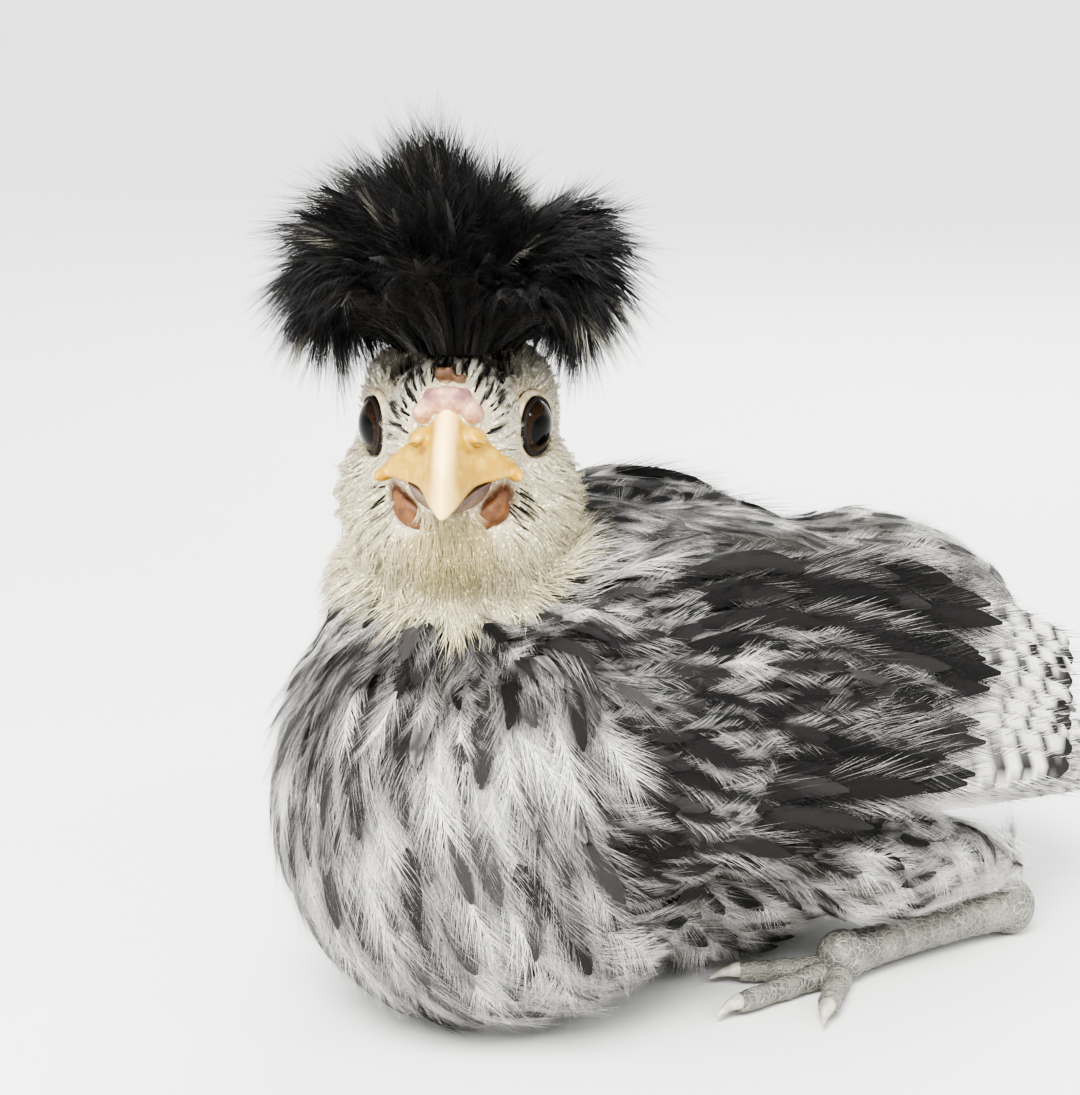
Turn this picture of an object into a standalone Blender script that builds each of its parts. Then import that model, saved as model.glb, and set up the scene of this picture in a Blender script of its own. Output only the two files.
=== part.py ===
"""A crested spangled chick, about six weeks old, resting on its belly with its head turned to its left.

Lengths are in metres, +Z is up, the chick's body faces -Y and its left side is +X.
"""

import math
import random
from dataclasses import dataclass

import bmesh
import bpy
from mathutils import Euler, Matrix, Vector

# Gap between neighbouring pieces
GAP = 0.0003

# Head: place of the point midway between the eyes, and how the head is turned and tipped
HEAD_PLACE = Vector((0.010, -0.0425, 0.0915))
HEAD_TURN = math.radians(57)
HEAD_TIP = math.radians(12)
HEAD_MATRIX = Matrix.Translation(HEAD_PLACE) @ Euler((HEAD_TIP, 0, HEAD_TURN)).to_matrix().to_4x4()

# Eyes, in head coordinates, with the left one on +X
EYE_RADIUS = 0.0054
EYE_CENTRE = Vector((0.0089, -0.0016, 0.0))
EYE_AIM = Vector((0.91, -0.41, 0.05)).normalized()
LID_RADIUS = 0.0048
LID_THICKNESS = 0.0009

# Crest, in head coordinates: where its feathers start from, and the half sizes of its dense core
CREST_CENTRE = Vector((0.0, 0.0010, 0.0140))
CREST_CORE_RADII = (0.0125, 0.0105, 0.0100)
CREST_BLADE_WIDTH = 0.0036
CREST_BLADE_THICKNESS = 0.0009

# Crest reach in metres by direction, in degrees from the chick's left up and over to its right
CREST_OUTLINE = (
    (-25, 0.0208), (-15, 0.0240), (0, 0.0275), (15, 0.0298), (35, 0.0300), (50, 0.0280), (60, 0.0228),
    (70, 0.0262), (90, 0.0300), (110, 0.0296), (130, 0.0294), (150, 0.0304), (170, 0.0288),
    (185, 0.0266), (205, 0.0208),
)

# Crest rows: how far each leans forward, its first and last direction, its feathers and its reach
CREST_ROWS = (
    (-62, -5, 185, 6, 0.80),
    (-38, -18, 198, 10, 0.94),
    (-12, -25, 205, 14, 1.00),
    (14, -16, 196, 11, 1.00),
    (38, 12, 168, 7, 0.92),
)

# Feather vanes of the wings and the tail
VANE_THICKNESS = 0.0005
WING_VANE_WIDTH = 0.0084
TAIL_VANE_WIDTH = 0.0100

# Legs: the left one, where the hock and the foot rest
HOCK = Vector((0.0240, 0.0570, 0.0050))
ANKLE = Vector((0.0275, 0.0180, 0.0042))
KNEE = Vector((0.0285, 0.0060, 0.0230))
SHANK_RADIUS = 0.0033
TOE_RADIUS = 0.0023
CLAW_LENGTH = 0.0048
TOES = {
    "inner": (-24.0, 0.0170),
    "middle": (10.0, 0.0240),
    "outer": (44.0, 0.0180),
    "back": (-128.0, 0.0080),
}

# The right wing is held higher than the left
WING_LIFT = {1: -0.0005, -1: 0.0070}

# Tail: the middle of its root, its droop and its length behind the root
TAIL_ROOT = Vector((0.0, 0.0650, 0.0535))
TAIL_DROOP = math.radians(39)
TAIL_LENGTH = 0.0430


@dataclass(frozen=True)
class Lobe:
    """An ellipsoid that a soft form is blended from: its centre, half sizes and turn in degrees."""

    centre: tuple
    radii: tuple
    turn: tuple = (0.0, 0.0, 0.0)


@dataclass(frozen=True)
class Row:
    """A row of wing feathers: how many, and the first and last root and tip as (y, z) on the wing's sheet.

    out is how far the row lies outside the middle of the sheet, and step what each feather adds to it.
    """

    count: int
    roots: tuple
    tips: tuple
    out: float
    step: float
    roll: float


# The torso's lobes, in the chick's own frame
TORSO_LOBES = (
    Lobe((0.000, 0.002, 0.0380), (0.0345, 0.0560, 0.0402)),
    Lobe((0.008, -0.035, 0.0345), (0.0345, 0.0345, 0.0362)),
    Lobe((0.002, -0.018, 0.0580), (0.0315, 0.0300, 0.0225)),
    Lobe((0.000, 0.044, 0.0500), (0.0245, 0.0310, 0.0240), (-14.0, 0.0, 0.0)),
    Lobe((0.008, -0.040, 0.0640), (0.0200, 0.0190, 0.0210)),
)

# The head's lobes, in head coordinates
HEAD_LOBES = (
    Lobe((0.0, 0.0060, 0.0005), (0.0152, 0.0150, 0.0135)),
    Lobe((0.0, -0.0025, 0.0010), (0.0120, 0.0115, 0.0090)),
    Lobe((0.0, -0.0085, -0.0045), (0.0095, 0.0085, 0.0080)),
    Lobe((0.0, 0.0020, -0.0090), (0.0174, 0.0140, 0.0115)),
    Lobe((0.0, -0.0020, -0.0150), (0.0140, 0.0130, 0.0090)),
    Lobe((0.0, 0.0110, -0.0120), (0.0150, 0.0130, 0.0180)),
    Lobe((0.0, 0.0060, -0.0260), (0.0170, 0.0160, 0.0140)),
)

# The left wing's lobes, in the chick's own frame: scapulars, coverts and wrist
WING_LOBES = (
    Lobe((0.0255, 0.0040, 0.0585), (0.0100, 0.0360, 0.0150), (-3.0, 0.0, 0.0)),
    Lobe((0.0330, -0.0030, 0.0440), (0.0085, 0.0390, 0.0180), (0.0, 0.0, 3.0)),
    Lobe((0.0375, -0.0210, 0.0400), (0.0080, 0.0190, 0.0150)),
)

# The wings' feather rows, from the outermost to the innermost
WING_ROWS = (
    Row(6, ((0.006, 0.0620), (-0.002, 0.0370)), ((0.046, 0.0575), (0.037, 0.0335)), 0.0034, 0.0, 13.0),
    Row(6, ((0.020, 0.0610), (0.012, 0.0355)), ((0.074, 0.0470), (0.070, 0.0300)), 0.0003, 0.0, 16.0),
    Row(6, ((0.016, 0.0400), (0.008, 0.0330)), ((0.086, 0.0330), (0.095, 0.0235)), -0.0027, -0.0009, 2.0),
)

# The tail's feathers from the middle out, as side to side angle and depth in the stack
TAIL_FAN = ((2.0, 0.0), (6.0, 1.0), (10.0, 2.0), (14.0, 3.0), (18.0, 4.0))
TAIL_STACK = 0.0011

# Stations along each half of the beak, in head coordinates: place, top, lower edge and half width
UPPER_BEAK = (
    (-0.0080, 0.0050, -0.0050, 0.0078),
    (-0.0130, 0.0055, -0.0056, 0.0070),
    (-0.0160, 0.0040, -0.0056, 0.0056),
    (-0.0190, 0.0020, -0.0056, 0.0043),
    (-0.0215, -0.0006, -0.0060, 0.0029),
    (-0.0233, -0.0034, -0.0068, 0.0016),
    (-0.0241, -0.0053, -0.0074, 0.0006),
)
LOWER_BEAK = (
    (-0.0080, -0.0053, -0.0085, 0.0066),
    (-0.0130, -0.0059, -0.0092, 0.0058),
    (-0.0170, -0.0059, -0.0090, 0.0044),
    (-0.0195, -0.0060, -0.0084, 0.0028),
    (-0.0213, -0.0064, -0.0076, 0.0012),
)


def clear_scene():
    """Remove every object of the open scene."""
    for obj in list(bpy.data.objects):
        bpy.data.objects.remove(obj, do_unlink=True)


def make_material(name, colour, roughness):
    """A plain Principled material."""
    material = bpy.data.materials.new(name)
    material.use_nodes = True
    shader = material.node_tree.nodes["Principled BSDF"]
    shader.inputs["Base Color"].default_value = (*colour, 1.0)
    shader.inputs["Roughness"].default_value = roughness
    return material


def new_object(name, build):
    """An object in the chick's collection, from the bmesh that build has filled."""
    mesh = bpy.data.meshes.new(name)
    build.normal_update()
    build.to_mesh(mesh)
    build.free()
    obj = bpy.data.objects.new(name, mesh)
    bpy.data.collections["chick"].objects.link(obj)
    return obj


def settle(obj):
    """Replace the object's mesh by what its modifiers make of it."""
    graph = bpy.context.evaluated_depsgraph_get()
    mesh = bpy.data.meshes.new_from_object(obj.evaluated_get(graph))
    obj.modifiers.clear()
    obj.data = mesh
    return obj


def mirrored(point, side):
    """A point of the left side, or its mirror image for side -1."""
    return Vector((side * point[0], point[1], point[2]))


def value_at(table, place):
    """The value that a table of (place, value) pairs gives at place, on straight lines between them."""
    for (low, first), (high, last) in zip(table, table[1:]):
        if place <= high:
            share = max(place - low, 0.0) / (high - low)
            return first + (last - first) * share
    return table[-1][1]


def ellipsoid(centre, radii, turn=(0.0, 0.0, 0.0), frame=Matrix(), segments=24, rings=14):
    """A closed ellipsoid, turned about its own centre and then placed in frame."""
    build = bmesh.new()
    place = Matrix.Translation(centre) @ Euler([math.radians(a) for a in turn]).to_matrix().to_4x4()
    size = Matrix.Diagonal((*radii, 1.0))
    bmesh.ops.create_uvsphere(
        build, u_segments=segments, v_segments=rings, radius=1.0, matrix=frame @ place @ size
    )
    return new_object("lobe", build)


def loft(rings, name="loft"):
    """A closed body through rings of the same number of points, with flat triangles alike all round."""
    build = bmesh.new()
    loops = [[build.verts.new(point) for point in ring] for ring in rings]
    count = len(rings[0])
    for low, high in zip(loops, loops[1:]):
        for i in range(count):
            j = (i + 1) % count
            build.faces.new((low[i], low[j], high[j]))
            build.faces.new((low[i], high[j], high[i]))
    build.faces.new(loops[0][::-1])
    build.faces.new(loops[-1])
    if build.calc_volume(signed=True) < 0:
        bmesh.ops.reverse_faces(build, faces=build.faces)
    return new_object(name, build)


def tube(points, radii, sides=10, squash=1.0):
    """A closed round body along points, with one radius at each, and squash times as high as wide."""
    rings = []
    for index, (point, radius) in enumerate(zip(points, radii)):
        before = points[max(index - 1, 0)]
        after = points[min(index + 1, len(points) - 1)]
        along = (after - before).normalized()
        across = along.cross(Vector((0, 0, 1))).normalized()
        lift = across.cross(along).normalized()
        ring = []
        for step in range(sides):
            angle = 2 * math.pi * step / sides
            offset = across * math.cos(angle) + lift * math.sin(angle) * squash
            ring.append(point + offset * radius)
        rings.append(ring)
    return loft(rings)


def vane(line, facing, width, thickness, roll, profile):
    """One feather as a thin closed blade.

    line holds the points of its shaft, facing the directions its outer face looks at each of them,
    width its greatest width, and profile the share of that width at each point.
    """
    rings = []
    for index, (point, face, share) in enumerate(zip(line, facing, profile)):
        along = (line[min(index + 1, len(line) - 1)] - line[max(index - 1, 0)]).normalized()
        out = (face - along * face.dot(along)).normalized()
        out = Matrix.Rotation(roll, 3, along) @ out
        across = along.cross(out).normalized() * (width * share / 2)
        depth = out * (thickness * (0.55 if index == len(line) - 1 else 1.0) / 2)
        rings.append([point + across + depth, point - across + depth, point - across - depth, point + across - depth])
    return loft(rings)


def union(pieces, solver="MANIFOLD"):
    """Join overlapping closed pieces into the first of them, and keep its largest closed surface."""
    first, *others = pieces
    if others:
        pool = bpy.data.collections.new("pieces to join")
        for piece in others:
            pool.objects.link(piece)
        join = first.modifiers.new("join", "BOOLEAN")
        join.operation = "UNION"
        join.operand_type = "COLLECTION"
        join.collection = pool
        join.solver = solver
        settle(first)
        for piece in others:
            bpy.data.objects.remove(piece, do_unlink=True)
        bpy.data.collections.remove(pool)
    return keep_largest(first)


def keep_largest(obj):
    """Drop every closed surface of the object but the largest."""
    build = bmesh.new()
    build.from_mesh(obj.data)
    shells, left = [], set(build.verts)
    while left:
        shell, edge = set(), {left.pop()}
        while edge:
            shell |= edge
            edge = {e.other_vert(v) for v in edge for e in v.link_edges} - shell
        left -= shell
        shells.append(shell)
    largest = max(shells, key=len)
    loose = [v for shell in shells if shell is not largest for v in shell]
    bmesh.ops.delete(build, geom=loose, context="VERTS")
    build.to_mesh(obj.data)
    build.free()
    return obj


def swollen_copy(obj, by=GAP):
    """A helper that stands by outside the object all round."""
    build = bmesh.new()
    build.from_mesh(obj.data)
    build.normal_update()
    for vert, normal in [(v, v.normal.copy()) for v in build.verts]:
        vert.co += normal * by
    return new_object("clearance", build)


def carve(obj, neighbours):
    """Cut the neighbours out of the object, with the gap that touching pieces keep."""
    for neighbour in neighbours:
        helper = swollen_copy(neighbour)
        cut = obj.modifiers.new("cut", "BOOLEAN")
        cut.operation = "DIFFERENCE"
        cut.object = helper
        cut.solver = "MANIFOLD"
        settle(obj)
        bpy.data.objects.remove(helper, do_unlink=True)
    return keep_largest(obj)


def blend(lobes, grain, rounds, triangles, frame=Matrix()):
    """One soft closed form from overlapping lobes: grain is the size of its first facets."""
    pieces = [ellipsoid(lobe.centre, lobe.radii, lobe.turn, frame, 48, 32) for lobe in lobes]
    first = pieces[0]
    build = bmesh.new()
    for piece in pieces:
        build.from_mesh(piece.data)
    build.to_mesh(first.data)
    build.free()
    for piece in pieces[1:]:
        bpy.data.objects.remove(piece, do_unlink=True)
    remesh = first.modifiers.new("remesh", "REMESH")
    remesh.mode = "VOXEL"
    remesh.voxel_size = grain
    smooth = first.modifiers.new("smooth", "SMOOTH")
    smooth.factor = 0.5
    smooth.iterations = rounds
    settle(first)
    thin_out(first, triangles)
    return keep_largest(first)


def thin_out(obj, triangles):
    """Bring the object down to about this many triangles."""
    now = sum(len(face.vertices) - 2 for face in obj.data.polygons)
    if now > triangles:
        decimate = obj.modifiers.new("thin out", "DECIMATE")
        decimate.ratio = triangles / now
        settle(obj)
    return obj


def keep_side(obj, point, normal):
    """Cut the object at a plane, keep the side that normal points to, and close the cut."""
    build = bmesh.new()
    build.from_mesh(obj.data)
    geometry = build.verts[:] + build.edges[:] + build.faces[:]
    bmesh.ops.bisect_plane(
        build, geom=geometry, dist=1e-7, plane_co=point, plane_no=normal, clear_inner=True
    )
    rim = [edge for edge in build.edges if edge.is_boundary]
    bmesh.ops.triangle_fill(build, edges=rim, use_beauty=True)
    bmesh.ops.recalc_face_normals(build, faces=build.faces)
    build.to_mesh(obj.data)
    build.free()
    return obj


def copy_of(obj):
    """A second object with its own copy of the mesh."""
    twin = bpy.data.objects.new(obj.name, obj.data.copy())
    bpy.data.collections["chick"].objects.link(twin)
    return twin


def finish(obj, name, material):
    """Name the node, give it its material and shade it smooth."""
    obj.name = name
    obj.data.name = name
    obj.data.materials.clear()
    obj.data.materials.append(material)
    obj.data.shade_smooth()
    obj.data.set_sharp_from_angle(angle=math.radians(50))
    return obj


def flesh():
    """The torso and the neck, parted by a thin cut, and the head above them."""
    whole = blend(TORSO_LOBES, 0.0024, 8, 1500)
    neck_base = Vector((0.0085, -0.0390, 0.0610))
    neck_axis = Vector((0.05, -0.42, 0.90)).normalized()
    collar = HEAD_MATRIX @ Vector((0.0, 0.0, -0.0215))
    collar_axis = (HEAD_MATRIX.to_3x3() @ Vector((0.0, -0.42, 0.90))).normalized()

    torso = copy_of(whole)
    keep_side(torso, neck_base - neck_axis * GAP / 2, -neck_axis)
    keep_side(torso, Vector((0, 0, 0)), Vector((0, 0, 1)))

    head = blend(HEAD_LOBES, 0.0011, 6, 1150, HEAD_MATRIX)
    neck = union([whole, ellipsoid(collar, (0.0175, 0.0175, 0.0115))])
    keep_side(neck, neck_base + neck_axis * GAP / 2, neck_axis)
    keep_side(neck, collar - collar_axis * GAP / 2, -collar_axis)
    keep_side(head, collar + collar_axis * GAP / 2, collar_axis)
    return keep_largest(torso), keep_largest(neck), keep_largest(head)


def lid(centre, aim):
    """A closed ring round the eye's opening."""
    turn = Matrix.Translation(centre) @ aim.to_track_quat("Z", "Y").to_matrix().to_4x4()
    steps, sides = 18, 6
    build = bmesh.new()
    loops = []
    for step in range(steps):
        angle = 2 * math.pi * step / steps
        out = Vector((math.cos(angle), math.sin(angle), 0))
        loop = []
        for side in range(sides):
            lean = 2 * math.pi * side / sides
            point = out * (LID_RADIUS + LID_THICKNESS * math.cos(lean))
            point += Vector((0, 0, LID_THICKNESS * math.sin(lean)))
            loop.append(build.verts.new(turn @ point))
        loops.append(loop)
    for low, high in zip(loops, loops[1:] + loops[:1]):
        for i in range(sides):
            j = (i + 1) % sides
            build.faces.new((low[i], low[j], high[j], high[i]))
    bmesh.ops.recalc_face_normals(build, faces=build.faces)
    return new_object("lid", build)


def beak_half(stations, arch):
    """Half a beak as a loft: arch is +1 for the upper half, whose round side is up, and -1 for the lower."""
    rings = []
    for place, top, edge, width in stations:
        flat, crown = (edge, top) if arch > 0 else (top, edge)
        rise = crown - flat
        outline = ((0, 0), (0.55, 0), (1, 0.02), (0.86, 0.45), (0.46, 0.86), (0, 1))
        right = [(width * x, flat + rise * z) for x, z in outline]
        left = [(-x, z) for x, z in right[-2:0:-1]]
        rings.append([HEAD_MATRIX @ Vector((x, place, z)) for x, z in right + left])
    return loft(rings)


def on_head(centre, radii, turn=(0.0, 0.0, 0.0), segments=12, rings=8):
    """An ellipsoid placed in head coordinates."""
    return ellipsoid(centre, radii, turn, HEAD_MATRIX, segments, rings)


def beak():
    """Both halves of the beak, with raised flaps round the nostrils and the mouth line between them."""
    upper = beak_half(UPPER_BEAK, 1)
    flaps = [on_head((side * 0.0040, -0.0150, 0.0024), (0.0022, 0.0032, 0.0024)) for side in (1, -1)]
    upper = union([upper, *flaps])
    nostrils = [
        on_head((side * 0.0056, -0.0166, 0.0026), (0.0012, 0.0015, 0.0010), segments=10, rings=6)
        for side in (1, -1)
    ]
    carve(upper, nostrils)
    for nostril in nostrils:
        bpy.data.objects.remove(nostril, do_unlink=True)
    return {"beak_upper": upper, "beak_lower": carve(beak_half(LOWER_BEAK, -1), [upper])}


def bare_skin(upper, lower):
    """The young comb with its two buds, the wattles and the ears with their cups."""
    base = on_head((0.0, -0.0125, 0.0066), (0.0042, 0.0030, 0.0026), segments=14)
    buds = [
        on_head((side * 0.0019, -0.0128, 0.0090), (0.0013, 0.0016, 0.0019), (20, side * 18, 0))
        for side in (1, -1)
    ]
    parts = {"comb": carve(union([base, *buds]), [upper])}
    for side, word in ((1, "left"), (-1, "right")):
        wattle = on_head((side * 0.0062, -0.0112, -0.0100), (0.0017, 0.0026, 0.0036), (0, side * -25, 0))
        parts[f"wattle_{word}"] = carve(wattle, [upper, lower])
        ear = on_head((side * 0.0155, 0.0075, -0.0065), (0.0018, 0.0034, 0.0034), (0, 0, side * -12))
        cup = on_head((side * 0.0178, 0.0080, -0.0062), (0.0014, 0.0018, 0.0018), (0, 0, side * -12), 10, 6)
        parts[f"ear_{word}"] = carve(ear, [cup])
        bpy.data.objects.remove(cup, do_unlink=True)
    return parts


def face_parts(head):
    """Eyes, beak, comb, wattles and ears, each let into the head."""
    parts, lids = {}, []
    for side, word in ((1, "left"), (-1, "right")):
        centre = HEAD_MATRIX @ mirrored(EYE_CENTRE, side)
        aim = HEAD_MATRIX.to_3x3() @ mirrored(EYE_AIM, side)
        parts[f"eye_{word}"] = ellipsoid(centre, (EYE_RADIUS,) * 3, segments=16, rings=10)
        depth = math.sqrt(EYE_RADIUS**2 - LID_RADIUS**2)
        lids.append(lid(centre + aim * depth, aim))
    union([head, *lids])
    parts.update(beak())
    parts.update(bare_skin(parts["beak_upper"], parts["beak_lower"]))
    carve(head, list(parts.values()))
    return parts


def crest(comb):
    """The crest: a dense core and long blades that spread up, forward and to both sides."""
    chance = random.Random(7)
    core = on_head(CREST_CENTRE, CREST_CORE_RADII, segments=18, rings=12)
    pieces = [core]
    for lean, first, last, count, reach in CREST_ROWS:
        for index in range(count):
            angle = first + (last - first) * (index + chance.uniform(-0.2, 0.2)) / (count - 1)
            length = value_at(CREST_OUTLINE, angle) * reach * chance.uniform(0.95, 1.0)
            pieces.append(crest_blade(angle, lean + chance.uniform(-6, 6), length, chance))
    return carve(union(pieces), [comb])


def crest_blade(angle, lean, length, chance):
    """One crest feather: it starts steeper than angle and curls over to end at it."""
    def heading(turn):
        side, rise = math.cos(math.radians(turn)), math.sin(math.radians(turn))
        forward = math.sin(math.radians(lean))
        level = math.cos(math.radians(lean))
        return Vector((side * level, -forward, rise * level))

    start = heading(90 + (angle - 90) * 0.82) * length * 0.55
    tip = heading(angle) * length
    line, facing = [], []
    for share in (0.20, 0.50, 0.80, 1.0):
        point = start * (2 * share * (1 - share)) + tip * share**2
        line.append(HEAD_MATRIX @ (CREST_CENTRE + point))
        facing.append(HEAD_MATRIX.to_3x3() @ Vector((0.25, -1, 0.35)))
    roll = math.radians(chance.uniform(-35, 35))
    profile = (0.55, 1.0, 0.9, 0.22)
    return vane(line, facing, CREST_BLADE_WIDTH, CREST_BLADE_THICKNESS, roll, profile)


def wing_sheet(y, z):
    """The point at (y, z) on the middle of the left wing's folded feathers, and which way it faces."""
    reach = value_at(((-0.01, 0.0350), (0.02, 0.0355), (0.045, 0.0315), (0.06, 0.0272), (0.10, 0.0180)), y)
    lean = math.radians(15)
    x = reach - (z - 0.040) * math.tan(lean)
    slope = (value_at(((0.0, 0.0), (0.03, 0.10), (0.06, 0.26), (0.10, 0.26)), y))
    return Vector((x, y, z)), Vector((1.0, slope, math.tan(lean))).normalized()


def wing_feather(row, index, side, lift):
    """One wing feather of a row, along the folded sheet from its root to its tip."""
    share = index / (row.count - 1)
    root = [a + (b - a) * share for a, b in zip(*row.roots)]
    tip = [a + (b - a) * share for a, b in zip(*row.tips)]
    line, facing = [], []
    for place in (0.0, 0.2, 0.45, 0.7, 0.9, 1.0):
        y = root[0] + (tip[0] - root[0]) * place
        z = root[1] + (tip[1] - root[1]) * place + 0.0016 * math.sin(math.pi * place)
        point, face = wing_sheet(y, z)
        point += face * (row.out + row.step * index)
        line.append(mirrored(point, side) + Vector((0, 0, lift)))
        facing.append(mirrored(face, side))
    roll = math.radians(row.roll) * side
    return vane(line, facing, WING_VANE_WIDTH, VANE_THICKNESS, roll, (0.45, 0.8, 1.0, 1.0, 0.72, 0.28))


def wing(side, neighbours):
    """A folded wing: the soft lobes of its coverts, and its flight feathers in three overlapping rows."""
    lift = WING_LIFT[side]
    lobes = [
        Lobe(
            tuple(mirrored(lobe.centre, side) + Vector((0, 0, lift))),
            lobe.radii,
            (lobe.turn[0], side * lobe.turn[1], side * lobe.turn[2]),
        )
        for lobe in WING_LOBES
    ]
    pieces = [blend(lobes, 0.0020, 5, 520)]
    for row in WING_ROWS:
        pieces += [wing_feather(row, index, side, lift) for index in range(row.count)]
    return carve(union(pieces), neighbours)


def tail_feather(side, turn, depth, length, lift):
    """One tail feather: fanned out by turn degrees, and depth steps down in the stack."""
    angle = math.radians(turn) * side
    line, facing = [], []
    for share in (0.12, 0.35, 0.6, 0.85, 1.0):
        run = length * share
        sag = 0.0030 * share**2
        point = Vector((math.sin(angle) * run, math.cos(angle) * run, lift - depth - sag))
        line.append(TAIL_ROOT + Euler((-TAIL_DROOP, 0, 0)).to_matrix() @ point)
        facing.append(Euler((-TAIL_DROOP, 0, 0)).to_matrix() @ Vector((0, 0, 1)))
    return vane(line, facing, TAIL_VANE_WIDTH, VANE_THICKNESS, 0.0, (0.5, 0.85, 1.0, 1.0, 0.5))


def tail(torso):
    """The drooping young tail: a soft root, the fanned feathers and a tier of coverts over them."""
    along = Euler((-TAIL_DROOP, 0, 0)).to_matrix() @ Vector((0, 1, 0))
    droop = -math.degrees(TAIL_DROOP)
    pieces = [ellipsoid(TAIL_ROOT + along * 0.005, (0.0135, 0.0200, 0.0105), (droop, 0, 0))]
    for side, shift in ((1, 0.0), (-1, 0.5)):
        for turn, depth in TAIL_FAN:
            drop = (depth + shift) * TAIL_STACK * 2
            pieces.append(tail_feather(side, turn, drop, TAIL_LENGTH - 0.0008 * depth, 0.0012))
    for side, shift in ((1, 0.0), (-1, 0.4)):
        for turn, depth in ((4.0, 0.0), (13.0, 0.8)):
            drop = (depth + shift) * TAIL_STACK * 2
            pieces.append(tail_feather(side, turn, drop, TAIL_LENGTH * 0.64, 0.0064))
    return carve(union(pieces), [torso])


def leg(side, word):
    """Shank, foot and claws of one leg, all resting on the floor."""
    parts = {}
    hock, ankle = mirrored(HOCK, side), mirrored(ANKLE, side)
    along = (ankle - hock).normalized()
    start = ankle - along * 0.0035
    stations = [hock.lerp(start, share) for share in (0.0, 0.12, 0.35, 0.7, 1.0)]
    shank = tube(stations, [SHANK_RADIUS * k for k in (1.30, 1.15, 0.95, 0.95, 1.10)])
    knob = ellipsoid(hock, (0.0046, 0.0050, 0.0054), segments=14, rings=8)
    parts[f"shank_{word}"] = keep_side(union([shank, knob]), Vector((0, 0, 0)), Vector((0, 0, 1)))

    pieces = [ellipsoid(ankle + along * 0.0010, (0.0042, 0.0044, 0.0044), segments=12, rings=8)]
    tips = {}
    for toe, (turn, length) in TOES.items():
        angle = math.radians(turn) * side
        ahead = Vector((math.sin(angle), -math.cos(angle), 0))
        root = Vector((ankle.x, ankle.y, TOE_RADIUS * 0.9))
        points, widths = [], []
        for share in (0.0, 0.25, 0.42, 0.6, 0.8, 1.0):
            knuckle = 1.0 + 0.10 * math.cos(share * 6 * math.pi)
            points.append(root + ahead * length * share)
            widths.append(TOE_RADIUS * (1.05 - 0.35 * share) * knuckle)
        pieces.append(tube(points, widths, sides=8, squash=0.95))
        tips[toe] = (points[-1], ahead)
    foot = carve(union(pieces), [parts[f"shank_{word}"]])
    parts[f"foot_{word}"] = keep_side(foot, Vector((0, 0, 0)), Vector((0, 0, 1)))
    for toe, (tip, ahead) in tips.items():
        parts[f"claw_{toe}_{word}"] = claw(tip + ahead * GAP * 1.2, ahead)
    return parts


def claw(base, ahead):
    """A short claw that bends down from base, clear of the floor."""
    points, widths = [], []
    for share in (0.0, 0.35, 0.7, 1.0):
        drop = Vector((0, 0, 0.0004 - 0.0013 * share**2))
        points.append(base + ahead * CLAW_LENGTH * share + drop)
        widths.append(0.0013 * (1 - 0.82 * share))
    return tube(points, widths, sides=6)


def thigh(side, neighbours):
    """The feathered drumstick, from the knee beside the belly back to the hock."""
    knee, hock = mirrored(KNEE, side), mirrored(HOCK, side)
    end = hock + Vector((0, 0.001, 0.0075))
    points = [knee.lerp(end, share) for share in (0.0, 0.2, 0.45, 0.7, 1.0)]
    drumstick = tube(points, (0.0060, 0.0115, 0.0115, 0.0080, 0.0046), sides=12, squash=1.05)
    return carve(drumstick, neighbours)


def recentre(nodes):
    """Move every node so that the middle of the whole box's underside is the origin."""
    corners = [v.co for node in nodes for v in node.data.vertices]
    low = [min(c[axis] for c in corners) for axis in range(3)]
    high = [max(c[axis] for c in corners) for axis in range(3)]
    shift = Vector((-(low[0] + high[0]) / 2, -(low[1] + high[1]) / 2, -low[2]))
    for node in nodes:
        node.data.transform(Matrix.Translation(shift))


def main():
    """Build every node of the chick."""
    clear_scene()
    bpy.context.scene.collection.children.link(bpy.data.collections.new("chick"))
    plumage = make_material("spangled plumage", (0.80, 0.79, 0.76), 0.8)
    finishes = {
        "head": make_material("cream face down", (0.85, 0.81, 0.68), 0.8),
        "crest": make_material("black crest feathers", (0.02, 0.02, 0.022), 0.6),
        "beak": make_material("pale yellow horn", (0.90, 0.72, 0.42), 0.35),
        "eye": make_material("dark brown eye", (0.05, 0.025, 0.015), 0.08),
        "comb": make_material("pink skin", (0.80, 0.45, 0.36), 0.5),
        "shank": make_material("slate scales", (0.25, 0.27, 0.25), 0.55),
        "claw": make_material("grey claw horn", (0.45, 0.42, 0.38), 0.4),
    }
    finishes.update(wattle=finishes["comb"], ear=finishes["comb"], foot=finishes["shank"])

    torso, neck, head = flesh()
    parts = {"torso": torso, "neck": neck, "head": head}
    parts.update(face_parts(head))
    parts["crest"] = crest(parts["comb"])
    carve(head, [parts["crest"]])
    parts["tail"] = tail(torso)
    for side, word in ((1, "left"), (-1, "right")):
        parts[f"wing_{word}"] = wing(side, [torso, neck])
        parts.update(leg(side, word))
        beside = [torso] + [parts[f"{name}_{word}"] for name in ("wing", "shank", "foot")]
        parts[f"thigh_{word}"] = thigh(side, beside)
    nodes = [finish(part, name, finishes.get(name.split("_")[0], plumage)) for name, part in parts.items()]
    recentre(nodes)


main()
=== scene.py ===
"""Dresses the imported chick: one skin, feathers tract by tract, the head's bare parts, and the studio."""
import logging
import math
from dataclasses import dataclass, field, replace
from enum import Enum, IntEnum
from typing import Callable, Iterable, Sequence

import bmesh
import bpy
import numpy as np
from bpy.types import Light, Material, Mesh, Node, NodeSocket, NodeTree, Object
from mathutils import Euler, Matrix, Vector
from mathutils.bvhtree import BVHTree


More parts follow.
